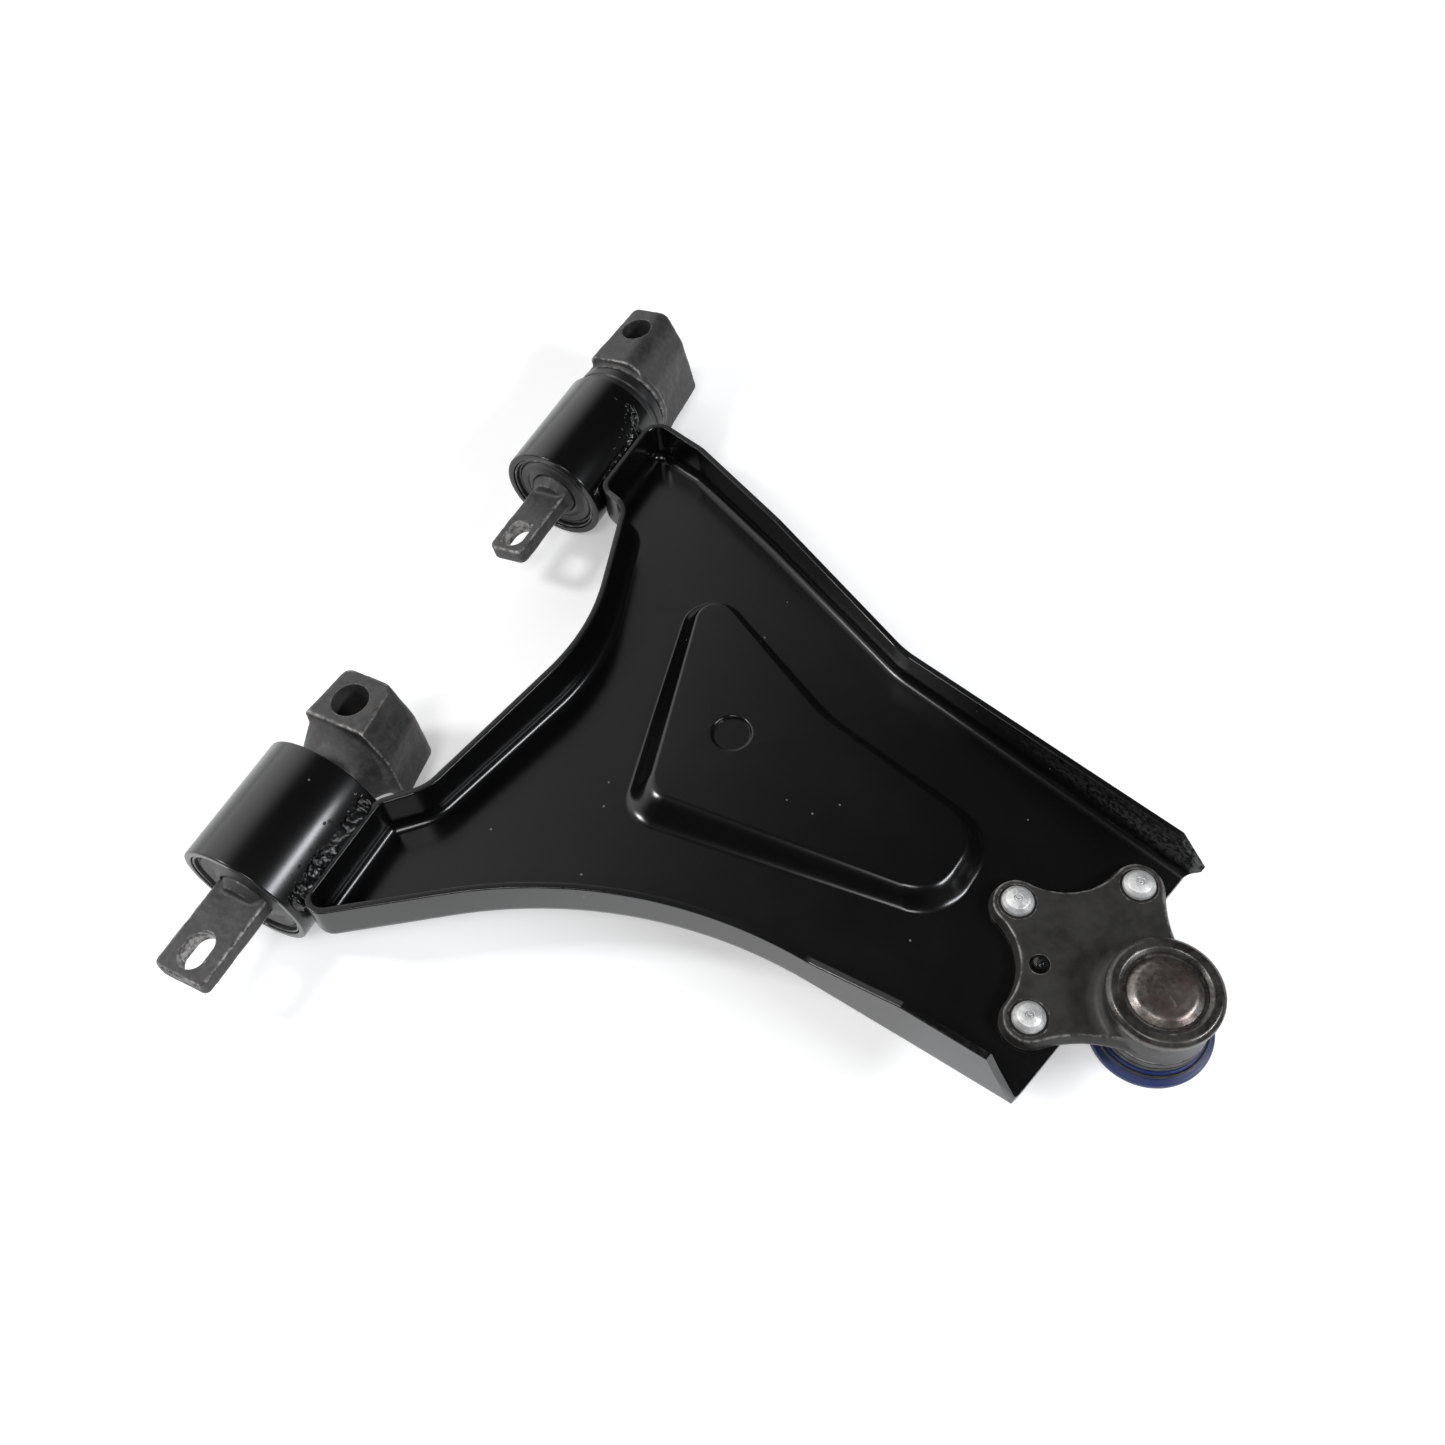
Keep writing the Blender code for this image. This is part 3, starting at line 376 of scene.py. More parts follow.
groundSteel = metalLook(
    "groundSteel",
    {"dark": (0.42, 0.42, 0.42), "light": (0.56, 0.56, 0.555), "fleck": (0.64, 0.64, 0.63),
     "rust": (0.40, 0.36, 0.31), "hollow": (0.12, 0.12, 0.12), "rubbedAndHighlight": (0.78, 0.78, 0.77)},
    {"metallic": 1.0, "mottleScale": 60.0, "edgeStart": 0.53, "edgeEnd": 0.62, "breakup": 400.0,
     "rustScale": 80.0, "rustLow": 0.70, "rustShare": 0.3, "roughLow": 0.20,
     "roughHigh": 0.34, "rubbedRough": 0.16, "waveScale": 90.0, "grainScale": 1800.0, "grainShare": 0.3,
     "bump": 0.18, "bumpDepth": 0.0002})
blackRubber = rubberLook(
    "mouldedBlackRubber",
    {"base": (0.010, 0.010, 0.010), "bloom": (0.022, 0.022, 0.022), "dust": (0.09, 0.088, 0.086)},
    {"bloomScale": 55.0, "gloss": 0.34, "grainScale": 900.0, "bump": 0.3})
blueRubber = rubberLook(
    "blueBootRubber",
    {"base": (0.003, 0.014, 0.085), "bloom": (0.004, 0.020, 0.11), "dust": (0.10, 0.14, 0.22)},
    {"bloomScale": 40.0, "gloss": 0.34, "grainScale": 700.0, "bump": 0.2})
seatPlastic = rubberLook(
    "acetalSeat",
    {"base": (0.62, 0.61, 0.56), "bloom": (0.70, 0.69, 0.64), "dust": (0.50, 0.48, 0.44)},
    {"bloomScale": 45.0, "gloss": 0.38, "grainScale": 600.0, "bump": 0.12})
print("looks made")


# mesh helpers

def skin(bm, first, second, closed=True):
    # faces between two rows of points; a row of one point is a tip
    count = max(len(first), len(second))
    for i in range(count if closed else count - 1):
        j = (i + 1) % count
        if len(first) == 1:
            bm.faces.new((first[0], second[j], second[i]))
        elif len(second) == 1:
            bm.faces.new((first[i], first[j], second[0]))
        else:
            bm.faces.new((first[i], first[j], second[j], second[i]))


def eased(part):
    # 0 to 1 with a gentle start and end
    return part * part * (3 - 2 * part)


def arcPoints(centre, radius, start, sweep, steps):
    turns = [start + sweep * n / steps for n in range(steps + 1)]
    return [centre + radius * Vector((math.cos(turn), math.sin(turn))) for turn in turns]


def cornerArc(before, corner, after, radius, steps):
    inward = (before - corner).normalized()
    onward = (after - corner).normalized()
    half = inward.angle(onward) / 2
    centre = corner + (inward + onward).normalized() * radius / math.sin(half)
    first = corner + inward * radius / math.tan(half) - centre
    last = corner + onward * radius / math.tan(half) - centre
    sweep = math.atan2(first.cross(last), first.dot(last))
    return arcPoints(centre, radius, math.atan2(first.y, first.x), sweep, steps)


def softened(corners, closed=False, steps=4):
    # corners are (x, y) or (x, y, rounding radius), in millimetres; gives points in metres
    points = []
    for i, corner in enumerate(corners):
        here = Vector(corner[:2]) / 1000
        atEnd = not closed and i in (0, len(corners) - 1)
        if len(corner) < 3 or atEnd:
            points.append(here)
            continue
        before = Vector(corners[i - 1][:2]) / 1000
        after = Vector(corners[(i + 1) % len(corners)][:2]) / 1000
        points += cornerArc(before, here, after, corner[2] / 1000, steps)
    return points


def lathe(profile, steps=96, closed=False, place=noMove):
    bm = bmesh.new()
    rings = []
    for point in profile:
        if point.x < 0.000001:
            rings.append([bm.verts.new((0, 0, point.y))])
            continue
        turns = [2 * math.pi * n / steps for n in range(steps)]
        rings.append([bm.verts.new((point.x * math.cos(t), point.x * math.sin(t), point.y)) for t in turns])
    for upper, lower in zip(rings, rings[1:]):
        skin(bm, upper, lower)
    if closed:
        skin(bm, rings[-1], rings[0])
    bm.transform(place)
    bmesh.ops.recalc_face_normals(bm, faces=bm.faces)
    return bm


def drumProfile(radius, low, high):
    return [Vector((0, high)), Vector((radius, high)), Vector((radius, low)), Vector((0, low))]


def prism(outline, low, high, place=noMove):
    bm = bmesh.new()
    rows = [[bm.verts.new((p[0], p[1], z)) for p in outline] for z in (low, high)]
    skin(bm, rows[0], rows[1])
    for row in rows:
        bm.faces.new(row)
    bm.transform(place)
    bmesh.ops.recalc_face_normals(bm, faces=bm.faces)
    return bm


def gather(shapes):
    # several closed shapes as one mesh
    whole = bmesh.new()
    for shape in shapes:
        passing = bpy.data.meshes.new("passing")
        shape.to_mesh(passing)
        shape.free()
        whole.from_mesh(passing)
        bpy.data.meshes.remove(passing)
    return whole


def newObject(name, bm):
    mesh = bpy.data.meshes.new(name)
    bm.to_mesh(mesh)
    bm.free()
    made = bpy.data.objects.new(name, mesh)
    bpy.context.scene.collection.objects.link(made)
    return made


def bakeModifiers(piece):
    bpy.context.view_layer.update()
    shape = piece.evaluated_get(bpy.context.evaluated_depsgraph_get())
    mesh = bpy.data.meshes.new_from_object(shape)
    old = piece.data
    piece.modifiers.clear()
    piece.data = mesh
    bpy.data.meshes.remove(old)
    return piece


def cut(piece, cutters, operation="DIFFERENCE"):
    tools = [newObject("cutter", bm) for bm in cutters]
    for tool in tools:
        step = piece.modifiers.new("cut", "BOOLEAN")
        step.operation = operation
        step.object = tool
        step.solver = "EXACT"
    bakeModifiers(piece)
    for tool in tools:
        bpy.data.objects.remove(tool)


def forge(piece, voxel, rounds):
    # melts overlapping shapes into one skin and rubs its edges round
    melt = piece.modifiers.new("melt", "REMESH")
    melt.mode = "VOXEL"
    melt.voxel_size = voxel
    melt.adaptivity = 0
    rub = piece.modifiers.new("rub", "SMOOTH")
    rub.factor = 0.5
    rub.iterations = rounds
    bakeModifiers(piece)


def takeShape(piece):
    bm = bmesh.new()
    bm.from_mesh(piece.data)
    bpy.data.objects.remove(piece)
    return bm


def roughen(piece, layers):
    # pushes points along their normals by layers of noise: (points per metre, metres)
    spots = [(vertex.co.copy(), vertex.normal.copy()) for vertex in piece.data.vertices]
    for vertex, (spot, normal) in zip(piece.data.vertices, spots):
        vertex.co = spot + normal * sum(noise.noise(spot * scale) * depth for scale, depth in layers)
    piece.data.update()


def dress(piece, place, look, replaced, sharpness):
    mesh = piece.data
    mesh.transform(place)
    mesh.shade_smooth()
    mesh.set_sharp_from_angle(angle=math.radians(sharpness))
    mesh.materials.clear()
    mesh.materials.append(look)
    if replaced:
        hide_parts(*replaced)


def settle(piece, place, look, body, replaced=(), sharpness=38):
    dress(piece, place, look, replaced, sharpness)
    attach(piece, body)


# the pressing: web, raised lip on a bend, island with a shallow round recess

pressing = {
    "sheet": 0.0035, "webTop": -0.0095, "bend": 0.005, "edgeRound": 0.0008, "chord": 0.0035, "bendSteps": 8,
    "leastSteps": 7, "rimSteps": 3, "recessAround": 64,
    # outer face of the lip from one side of the ball joint round the bushes to the other:
    # x, y, corner radius, height of the lip's edge
    "lip": [
        (0.4200, -0.0765, 0.000, 0.0240), (0.3000, -0.0632, 0.100, 0.0250), (0.1640, -0.0490, 0.235, 0.0150),
        (0.0332, -0.1462, 0.009, 0.0150), (0.0332, -0.0755, 0.010, 0.0145), (0.0500, -0.0585, 0.022, 0.0150),
        (0.0765, 0.0520, 0.110, 0.0190), (0.0480, 0.1320, 0.013, 0.0165), (0.0288, 0.1400, 0.010, 0.0150),
        (0.0288, 0.1995, 0.010, 0.0140), (0.0660, 0.1900, 0.020, 0.0140), (0.1260, 0.1630, 0.200, 0.0140),
        (0.2210, 0.1165, 0.060, 0.0100), (0.4200, 0.0622, 0.000, 0.0180),
    ],
    "islandHeight": 0.0095, "islandSteps": 16, "islandCornerSteps": 14,
    "foot": [(0.0940, 0.1310, 0.017), (0.2000, 0.0760, 0.090), (0.3030, 0.0500, 0.028),
             (0.2980, -0.0045, 0.027), (0.1335, -0.0230, 0.018)],
    "top": [(0.1075, 0.1170, 0.009), (0.1970, 0.0680, 0.070), (0.2915, 0.0430, 0.020),
            (0.2865, 0.0040, 0.019), (0.1430, -0.0050, 0.011)],
    "recess": {"middle": (0.163, 0.040), "profile": [(0.0108, 0.0), (0.0103, 0.0001), (0.0099, 0.0004),
                                                     (0.0095, 0.0010), (0.0091, 0.0014), (0.0086, 0.0015)]},
    "tubes": ((-0.1412, -0.0737, 0.0337), (0.1344, 0.2004, 0.0291)),
    "clearance": 0.0003, "pastTube": 0.012,
    # cut away at the ball joint, seen from the side (back from its axis, height), then the reach across
    "endCuts": [
        ([(-0.0225, -0.030), (-0.0225, -0.0070), (-0.0320, 0.0130), (-0.0405, 0.0330), (0.060, 0.0330),
          (0.060, -0.030)], 0.0, 0.12),
        ([(-0.0270, -0.030), (-0.0270, -0.0090), (-0.0210, 0.0010), (-0.0400, 0.0200), (-0.0500, 0.0330),
          (0.060, 0.0330), (0.060, -0.030)], -0.12, 0.0001),
    ],
    "notchRadius": 0.0252, "notchHalf": 0.03,
}


def lipSamples():
    # (point on the outer face, direction along it, height of the edge), in order along the lip
    corners = pressing["lip"]
    at = [Vector(corner[:2]) for corner in corners]
    samples = []
    for i, (_, _, radius, height) in enumerate(corners):
        if radius == 0:
            toward = at[1] - at[0] if i == 0 else at[i] - at[i - 1]
            samples.append((at[i], toward.normalized(), height))
            continue
        before = (at[i] - at[i - 1]).normalized()
        after = (at[i + 1] - at[i]).normalized()
        turn = before.angle_signed(after)
        steps = max(pressing["leastSteps"], round(abs(turn) * radius / pressing["chord"]))
        for n, point in enumerate(cornerArc(at[i - 1], at[i], at[i + 1], radius, steps)):
            direction = before.copy()
            direction.rotate(Matrix.Rotation(-turn * n / steps, 2))
            samples.append((point, direction, height))
    return samples


def lipSection():
    # (distance in from the outer face, height, True where the height is from the lip's edge)
    sheet, bend, web = pressing["sheet"], pressing["bend"], pressing["webTop"]
    soft, steps = pressing["edgeRound"], pressing["bendSteps"]
    quarter = [math.pi / 2 * n / steps for n in range(steps + 1)]
    rim = [math.pi / 2 * n / pressing["rimSteps"] for n in range(pressing["rimSteps"] + 1)]
    section = [(sheet + bend - bend * math.sin(t), web + bend - bend * math.cos(t), False) for t in quarter]
    section += [(sheet - soft + soft * math.cos(t), soft * math.sin(t) - soft, True) for t in rim]
    section += [(soft - soft * math.sin(t), soft * math.cos(t) - soft, True) for t in rim]
    outer = bend + sheet
    section += [(outer - outer * math.cos(t), web + bend - outer * math.sin(t), False) for t in quarter]
    return section


def loopEdges(bm, row):
    return [bm.edges.get((a, b)) or bm.edges.new((a, b)) for a, b in zip(row, row[1:] + row[:1])]


def closedOutline(corners, steps):
    at = [Vector(corner[:2]) for corner in corners]
    points = []
    for i, (_, _, radius) in enumerate(corners):
        points += cornerArc(at[i - 1], at[i], at[(i + 1) % len(at)], radius, steps)
    return points


def webAndIsland(bm, border):
    # fills inside the border: flat web, island walls, island top and its recess
    web, rise = pressing["webTop"], pressing["islandHeight"]
    foot = closedOutline(pressing["foot"], pressing["islandCornerSteps"])
    top = closedOutline(pressing["top"], pressing["islandCornerSteps"])
    walls = []
    for n in range(pressing["islandSteps"] + 1):
        part = n / pressing["islandSteps"]
        height = web + rise * eased(part)
        ring = [f.lerp(t, part) for f, t in zip(foot, top)]
        walls.append([bm.verts.new((p.x, p.y, height)) for p in ring])
    for lower, upper in zip(walls, walls[1:]):
        skin(bm, lower, upper)
    middle = Vector(pressing["recess"]["middle"])
    dish = []
    for radius, depth in pressing["recess"]["profile"]:
        ring = arcPoints(middle, radius, 0, 2 * math.pi, pressing["recessAround"])[:-1]
        dish.append([bm.verts.new((p.x, p.y, web + rise - depth)) for p in ring])
    for upper, lower in zip(dish, dish[1:]):
        skin(bm, upper, lower)
    bm.faces.new(dish[-1])
    bmesh.ops.triangle_fill(bm, use_beauty=True, edges=loopEdges(bm, border) + loopEdges(bm, walls[0]))
    bmesh.ops.triangle_fill(bm, use_beauty=True, edges=loopEdges(bm, walls[-1]) + loopEdges(bm, dish[0]))


def pressingShape():
    bm = bmesh.new()
    samples = lipSamples()
    rows = []
    for offset, height, fromEdge in lipSection():
        row = []
        for point, direction, edge in samples:
            spot = point + Vector((direction.y, -direction.x)) * offset
            row.append(bm.verts.new((spot.x, spot.y, edge + height if fromEdge else height)))
        rows.append(row)
    for first, second in zip(rows, rows[1:]):
        skin(bm, first, second, closed=False)
    lipFaces = set(bm.faces)
    webAndIsland(bm, rows[0])
    upper = [face for face in bm.faces if face not in lipFaces]
    parts = upper + list({e for f in upper for e in f.edges}) + list({v for f in upper for v in f.verts})
    under = bmesh.ops.duplicate(bm, geom=parts)
    bmesh.ops.translate(bm, verts=[g for g in under["geom"] if isinstance(g, bmesh.types.BMVert)],
                        vec=(0, 0, -pressing["sheet"]))
    joins = {under["vert_map"][top]: bottom for top, bottom in zip(rows[0], rows[-1])}
    bmesh.ops.weld_verts(bm, targetmap=joins)
    for end in (0, -1):
        bm.faces.new([row[end] for row in rows])
    bm.faces.new((rows[0][0], rows[0][-1], rows[-1][-1], rows[-1][0]))
    bmesh.ops.recalc_face_normals(bm, faces=bm.faces)
    return bm


plateFromArm = armPlace.inverted() @ platePlace
rivetSpots = (Vector((-0.0755, 0, 0)), Vector((-0.0388, 0.0421, 0)), Vector((-0.0388, -0.0421, 0)))


def buildPressing():
    piece = newObject("arm_tray", pressingShape())
    cutters = []
    past = pressing["pastTube"]
    for low, high, radius in pressing["tubes"]:
        drum = drumProfile(radius + pressing["clearance"], low - past, high + past)
        cutters.append(lathe(drum, steps=160, place=alongBush))
    for side, low, high in pressing["endCuts"]:
        cutters.append(prism(side, low, high, place=plateFromArm @ turned(90, "X")))
    notch = drumProfile(pressing["notchRadius"], -pressing["notchHalf"], pressing["notchHalf"])
    cutters.append(lathe(notch, place=plateFromArm))
    cut(piece, cutters)
    even = piece.modifiers.new("evenShading", "WEIGHTED_NORMAL")
    even.keep_sharp = True
    settle(piece, armPlace, blackPaint, "arm", ["arm_pressing"], sharpness=30)


buildPressing()
print("pressing built")


# bushes: welded tubes, pressed-in shells and the rubber between shell and pin

bushes = {  # millimetres along and across the bush axis
    "rear": {"low": -141.2, "high": -73.7, "radius": 33.7, "standsOut": 0.0},
    "front": {"low": 134.4, "high": 200.4, "radius": 29.1, "standsOut": 11.5},
}
tubeWall = 3.6
shellWall = 1.3
pinCore = 13.0
fitGap = 0.3  # between a pressed-in ring and what it sits in


def ringAlongBush(name, corners, look, replaced):
    piece = newObject(name, lathe(softened(corners, closed=True), steps=128, closed=True, place=alongBush))
    settle(piece, armPlace, look, "arm", replaced, sharpness=50)


def buildBush(name, size):
    low, high, outer = size["low"], size["high"], size["radius"]
    bore = outer - tubeWall
    tube = [(outer, high, 0.9), (outer, low, 0.9), (bore, low, 0.5), (bore, high, 0.5)]
    ringAlongBush(f"{name}_tube", tube, blackPaint, [f"{name}_bush_tube"])
    shellOuter = bore - fitGap
    shellInner = shellOuter - shellWall
    shell = [(shellOuter, high - 0.4, 0.3), (shellOuter, low + 0.7, 0.5), (shellInner, low + 0.7, 0.4),
             (shellInner, high - 0.4, 0.3)]
    ringAlongBush(f"{name}_shell", shell, shellSteel, [f"{name}_bush_shell"])
    rubber = shellInner - fitGap
    core = pinCore + fitGap
    groove = (rubber + core) / 2
    near = [(core, low + 1.4, 0.5), (core + 1.6, low + 0.9, 0.8), (groove, low + 3.2, 3.0),
            (rubber - 2.2, low + 2.2, 0.8), (rubber - 1.0, low + 3.2, 0.4), (rubber, low + 2.6, 0.2)]
    if size["standsOut"]:  # a collar of rubber with a groove round it
        reach, collar = high + size["standsOut"], rubber + 3.2
        far = [(rubber, high + 0.3, 0.15), (collar, high + 0.3, 0.5), (collar, high + 3.6, 0.5),
               (rubber + 2.5, high + 4.3, 0.4), (rubber + 2.5, high + 5.2, 0.4), (collar, high + 5.9, 0.5),
               (collar, reach - 1.2, 0.8), (rubber + 1.4, reach, 0.8), (core, reach, 0.3)]
    else:
        far = [(rubber, high - 4.0, 0.5), (rubber - 2.0, high - 3.6, 0.8), (groove, high - 9.0, 1.6),
               (core + 2.0, high - 3.6, 0.8), (core, high - 4.0, 0.5)]
    ringAlongBush(f"{name}_rubber", near + far, blackRubber, [f"{name}_bush_rubber"])


for bushName, bushSize in bushes.items():
    buildBush(bushName, bushSize)
print("bushes built")


# bar pins: one forging each, round core, flat slotted tang, thick bolt block

tangThickness = 8.8
tangRound = 3.5
backFlare = 2.6
undersideRound = 2.2
widestRound = 10.0  # a bevel weight of 1
lap = 4  # how far the shapes of a pin run into each other
forging = {"voxel": 0.0008, "rounds": 5, "skin": ((90, 0.00028), (330, 0.00012))}
cutHalf = 0.02  # metres either side, for what is cut right through
pins = {  # millimetres: y along the bush axis, z up from it
    "rear": {
        "place": rearPinPlace, "neck": 20.0, "neckFrom": -75.7, "coreLow": -144.0,
        "tangHalf": 14.8, "tangRoot": -134.0, "tangEnd": -188.5,
        "slotY": -174.0, "slotHalf": 7.0, "slotRun": 3.2,
        "top": 29.5, "half": 17.6, "flare": 8.6, "drop": 9.5, "depth": 24.0,
        "near": -55.2, "far": -24.2, "narrowing": 0.82, "holeY": -40.5, "hole": 9.3,
        "farRound": (2.0, 5.0, 4.0, 2.0, 4.0, 6.0), "shoulderRound": 1.2, "flankRound": 2.6,
        "flareOut": 10.5, "flareCurve": 2.2, "flange": 0.0,
    },
    "front": {
        "place": frontPinPlace, "neck": 20.0, "neckFrom": 213.2, "coreLow": 131.0,
        "tangHalf": 10.7, "tangRoot": 140.0, "tangEnd": 87.0,
        "slotY": 100.0, "slotHalf": 6.5, "slotRun": 3.0,
        "top": 29.0, "half": 15.0, "flare": 6.2, "drop": 9.0, "depth": 24.0,
        "near": 214.8, "far": 260.5, "narrowing": 0.80, "holeY": 243.0, "hole": 8.3,
        "farRound": (2.0, 4.0, 4.0, 2.0, 4.0, 5.0), "shoulderRound": 8.0, "flankRound": 3.0,
        "flareOut": 8.0, "flareCurve": 0.5, "flange": 26.4,
    },
}
millimetres = Matrix.Scale(0.001, 4)


def blockSection(size, scale):
    left, right = -size["half"] * scale, size["half"] * scale
    front, back = right + size["flare"] * scale, left - backFlare
    top, drop, bottom = size["top"], size["drop"], -size["depth"]
    return [(left, top), (right, top), (front, drop), (front, bottom), (back, bottom), (back, drop)]


def blockShape(size, near):
    bm = bmesh.new()
    rows = []
    for y, scale in ((near, 1.0), (size["far"], size["narrowing"])):
        rows.append([bm.verts.new((x, y, z)) for x, z in blockSection(size, scale)])
    skin(bm, rows[0], rows[1])
    for row in rows:
        bm.faces.new(row)
    bmesh.ops.recalc_face_normals(bm, faces=bm.faces)
    weights = bm.edges.layers.float.new("bevel_weight_edge")
    alongRounds = (size["flankRound"], size["shoulderRound"], *[undersideRound] * 4)
    for i, (alongRound, farRound) in enumerate(zip(alongRounds, size["farRound"])):
        bm.edges.get((rows[0][i], rows[1][i]))[weights] = alongRound / widestRound
        bm.edges.get((rows[1][i], rows[1][(i + 1) % 6]))[weights] = farRound / widestRound
    bm.transform(millimetres)
    return bm


def roundedBlock(size):
    piece = newObject("block", blockShape(size, size["near"]))
    step = piece.modifiers.new("round", "BEVEL")
    step.limit_method = "WEIGHT"
    step.width = widestRound / 1000
    step.segments = 5
    return takeShape(bakeModifiers(piece))


def neckFlare(size):
    # hollow curve from the round neck out to the block's front edges
    start, end = size["neckFrom"], size["near"] + lap / 2
    steps = 12
    profile = [(0, start)]
    for n in range(steps + 1):
        part = n / steps
        radius = size["neck"] - 0.3 + size["flareOut"] * part ** size["flareCurve"]
        profile.append((radius, start + (end - start) * part))
    profile.append((0, end))
    piece = newObject("flare", lathe(softened(profile), place=alongBush))
    cut(piece, [blockShape(size, start - lap)], "INTERSECT")
    return takeShape(piece)


def slotOutline(size):
    # two half circles with a straight run between them
    half, run = size["slotHalf"] / 1000, size["slotRun"] / 1000
    points = []
    for side, start in ((1, 0), (-1, math.pi)):
        points += arcPoints(Vector((0, size["slotY"] / 1000 + side * run)), half, start, math.pi, 20)
    return points


def chamferedHole(size):
    top, bottom, radius = size["top"], -size["depth"], size["hole"]
    profile = [(0, top + 5), (radius + 5.4, top + 5), (radius, top - 0.4, 0.5), (radius, bottom + 0.4, 0.5),
               (radius + 5.4, bottom - 5), (0, bottom - 5)]
    return lathe(softened(profile), steps=72, place=Matrix.Translation((0, size["holeY"] / 1000, 0)))


def buildPin(name, size):
    neck, neckFrom, coreLow = size["neck"], size["neckFrom"], size["coreLow"]
    core = [(0, size["near"] + lap), (neck, size["near"] + lap), (neck, neckFrom), (pinCore, neckFrom - 1.5),
            (pinCore, coreLow + lap), (pinCore - 3.0, coreLow), (0, coreLow)]
    half, root, end = size["tangHalf"], size["tangRoot"], size["tangEnd"]
    tang = softened([(-half, root), (-half, end, tangRound), (half, end, tangRound), (half, root)], steps=6)
    thick = tangThickness / 2000
    shapes = [lathe(softened(core), steps=72, place=alongBush), prism(tang, -thick, thick),
              roundedBlock(size), neckFlare(size)]
    if size["flange"]:
        disc = [(0, neckFrom + 4.5), (size["flange"], neckFrom + 4.5, 1.5),
                (size["flange"], neckFrom - 0.6, 0.8), (0, neckFrom - 0.6)]
        shapes.append(lathe(softened(disc), place=alongBush))
    piece = newObject(f"{name}_pin", gather(shapes))
    forge(piece, forging["voxel"], forging["rounds"])
    roughen(piece, forging["skin"])
    cut(piece, [prism(slotOutline(size), -cutHalf, cutHalf), chamferedHole(size)])
    settle(piece, size["place"], forgedSteel, f"{name}_pin", [f"{name}_bar_pin"],
           sharpness=45)


for pinName, pinSize in pins.items():
    buildPin(pinName, pinSize)
print("bar pins forged")


# welds: rippled beads with spatter round them

welds = {  # metres; path: place along the bush and turn round it in degrees
    "rear": {"radius": 0.0345, "path": [(-0.1385, 20), (-0.130, 22), (-0.115, 24), (-0.100, 23),
                                        (-0.088, 22), (-0.0775, 25)],
             "half": 0.0052, "rise": 0.0031, "pitch": 0.0058, "lumps": 0.34, "spatter": 30, "tube": 0.0337},
    "front": {"radius": 0.0293, "path": [(0.1365, 19), (0.150, 22), (0.163, 22), (0.174, 22),
                                         (0.183, 28), (0.189, 37), (0.1945, 47)],
              "half": 0.0030, "rise": 0.0016, "pitch": 0.0044, "lumps": 0.26, "spatter": 12, "tube": 0.0291},
}
beadStep = 0.0003
beadAround = 28
spatter = {"seed": 11, "radius": (0.0003, 0.0009), "clear": 0.12, "spread": 0.10,
           "thick": 0.55, "long": (0.9, 1.6), "wide": (0.9, 1.3)}


def weldSpot(size, travel):
    # even steps between the path's points, eased so that the seam has no corners
    path = size["path"]
    reach = travel * (len(path) - 1)
    low = min(int(reach), len(path) - 2)
    part = reach - low
    y = path[low][0] + (path[low + 1][0] - path[low][0]) * part
    turn = math.radians(path[low][1] + (path[low + 1][1] - path[low][1]) * eased(part))
    return y, turn


def beadShape(size):
    # overlapping lumps pushed along the seam, wandering a little to either side
    bm = bmesh.new()
    length = size["path"][-1][0] - size["path"][0][0]
    steps = round(length / beadStep)
    rings = []
    for n in range(steps + 1):
        travel = n / steps
        y, turn = weldSpot(size, travel)
        outward = Vector((math.cos(turn), 0, math.sin(turn)))
        across = Vector((-math.sin(turn), 0, math.cos(turn)))
        run = length * travel
        ends = math.sqrt(min(1.0, 0.08 + 14 * min(travel, 1 - travel)))  # both ends taper
        wander = 0.0012 * noise.noise(Vector((run * 90, 3.1, size["half"] * 900)))
        ring = []
        for k in range(beadAround):
            around = 2 * math.pi * k / beadAround
            phase = run / size["pitch"] + 0.30 * math.cos(around)
            phase += 0.6 * noise.noise(Vector((run * 120, 9, 1)))
            saw = phase % 1.0  # each lump is half a circle that starts and ends sharply
            scale = 0.78 + size["lumps"] * math.sqrt(max(0.0, 1 - (2 * saw - 1) ** 2))
            scale += 0.30 * noise.noise(Vector((run * 380, math.cos(around) * 1.6, math.sin(around) * 1.6)))
            scale += 0.10 * noise.noise(Vector((run * 1500, math.cos(around) * 6, math.sin(around) * 6)))
            spot = outward * size["radius"] + Vector((0, y, 0))
            spot += across * (math.cos(around) * size["half"] * scale * ends + wander)
            spot += outward * (math.sin(around) * size["rise"] * scale * ends)
            ring.append(bm.verts.new(spot))
        rings.append(ring)
    for first, second in zip(rings, rings[1:]):
        skin(bm, first, second)
    bm.faces.new(rings[0])
    bm.faces.new(rings[-1])
    bmesh.ops.recalc_face_normals(bm, faces=bm.faces)
    return bm


def spatterShape(size, draw):
    # flattened drops of weld metal thrown onto the tube beside the seam
    drops = []
    for _ in range(size["spatter"]):
        radius = draw.uniform(*spatter["radius"])
        y, turn = weldSpot(size, draw.random())
        turn += abs(draw.gauss(0.0, spatter["spread"])) + spatter["clear"]
        stretch = (spatter["thick"], draw.uniform(*spatter["long"]), draw.uniform(*spatter["wide"]))
        drop = bmesh.new()
        bmesh.ops.create_icosphere(drop, subdivisions=2, radius=radius)
        bmesh.ops.scale(drop, verts=drop.verts, vec=stretch)
        drop.transform(Matrix.Rotation(-turn, 4, "Y") @ Matrix.Translation((size["tube"], y, 0)))
        drops.append(drop)
    return drops


def buildWelds():
    draw = random.Random(spatter["seed"])
    for name, size in welds.items():
        piece = newObject(f"{name}_weld", gather([beadShape(size)] + spatterShape(size, draw)))
        settle(piece, armPlace, weldPaint, "arm", [f"{name}_weld_bead"], sharpness=60)


buildWelds()
print("welds laid")


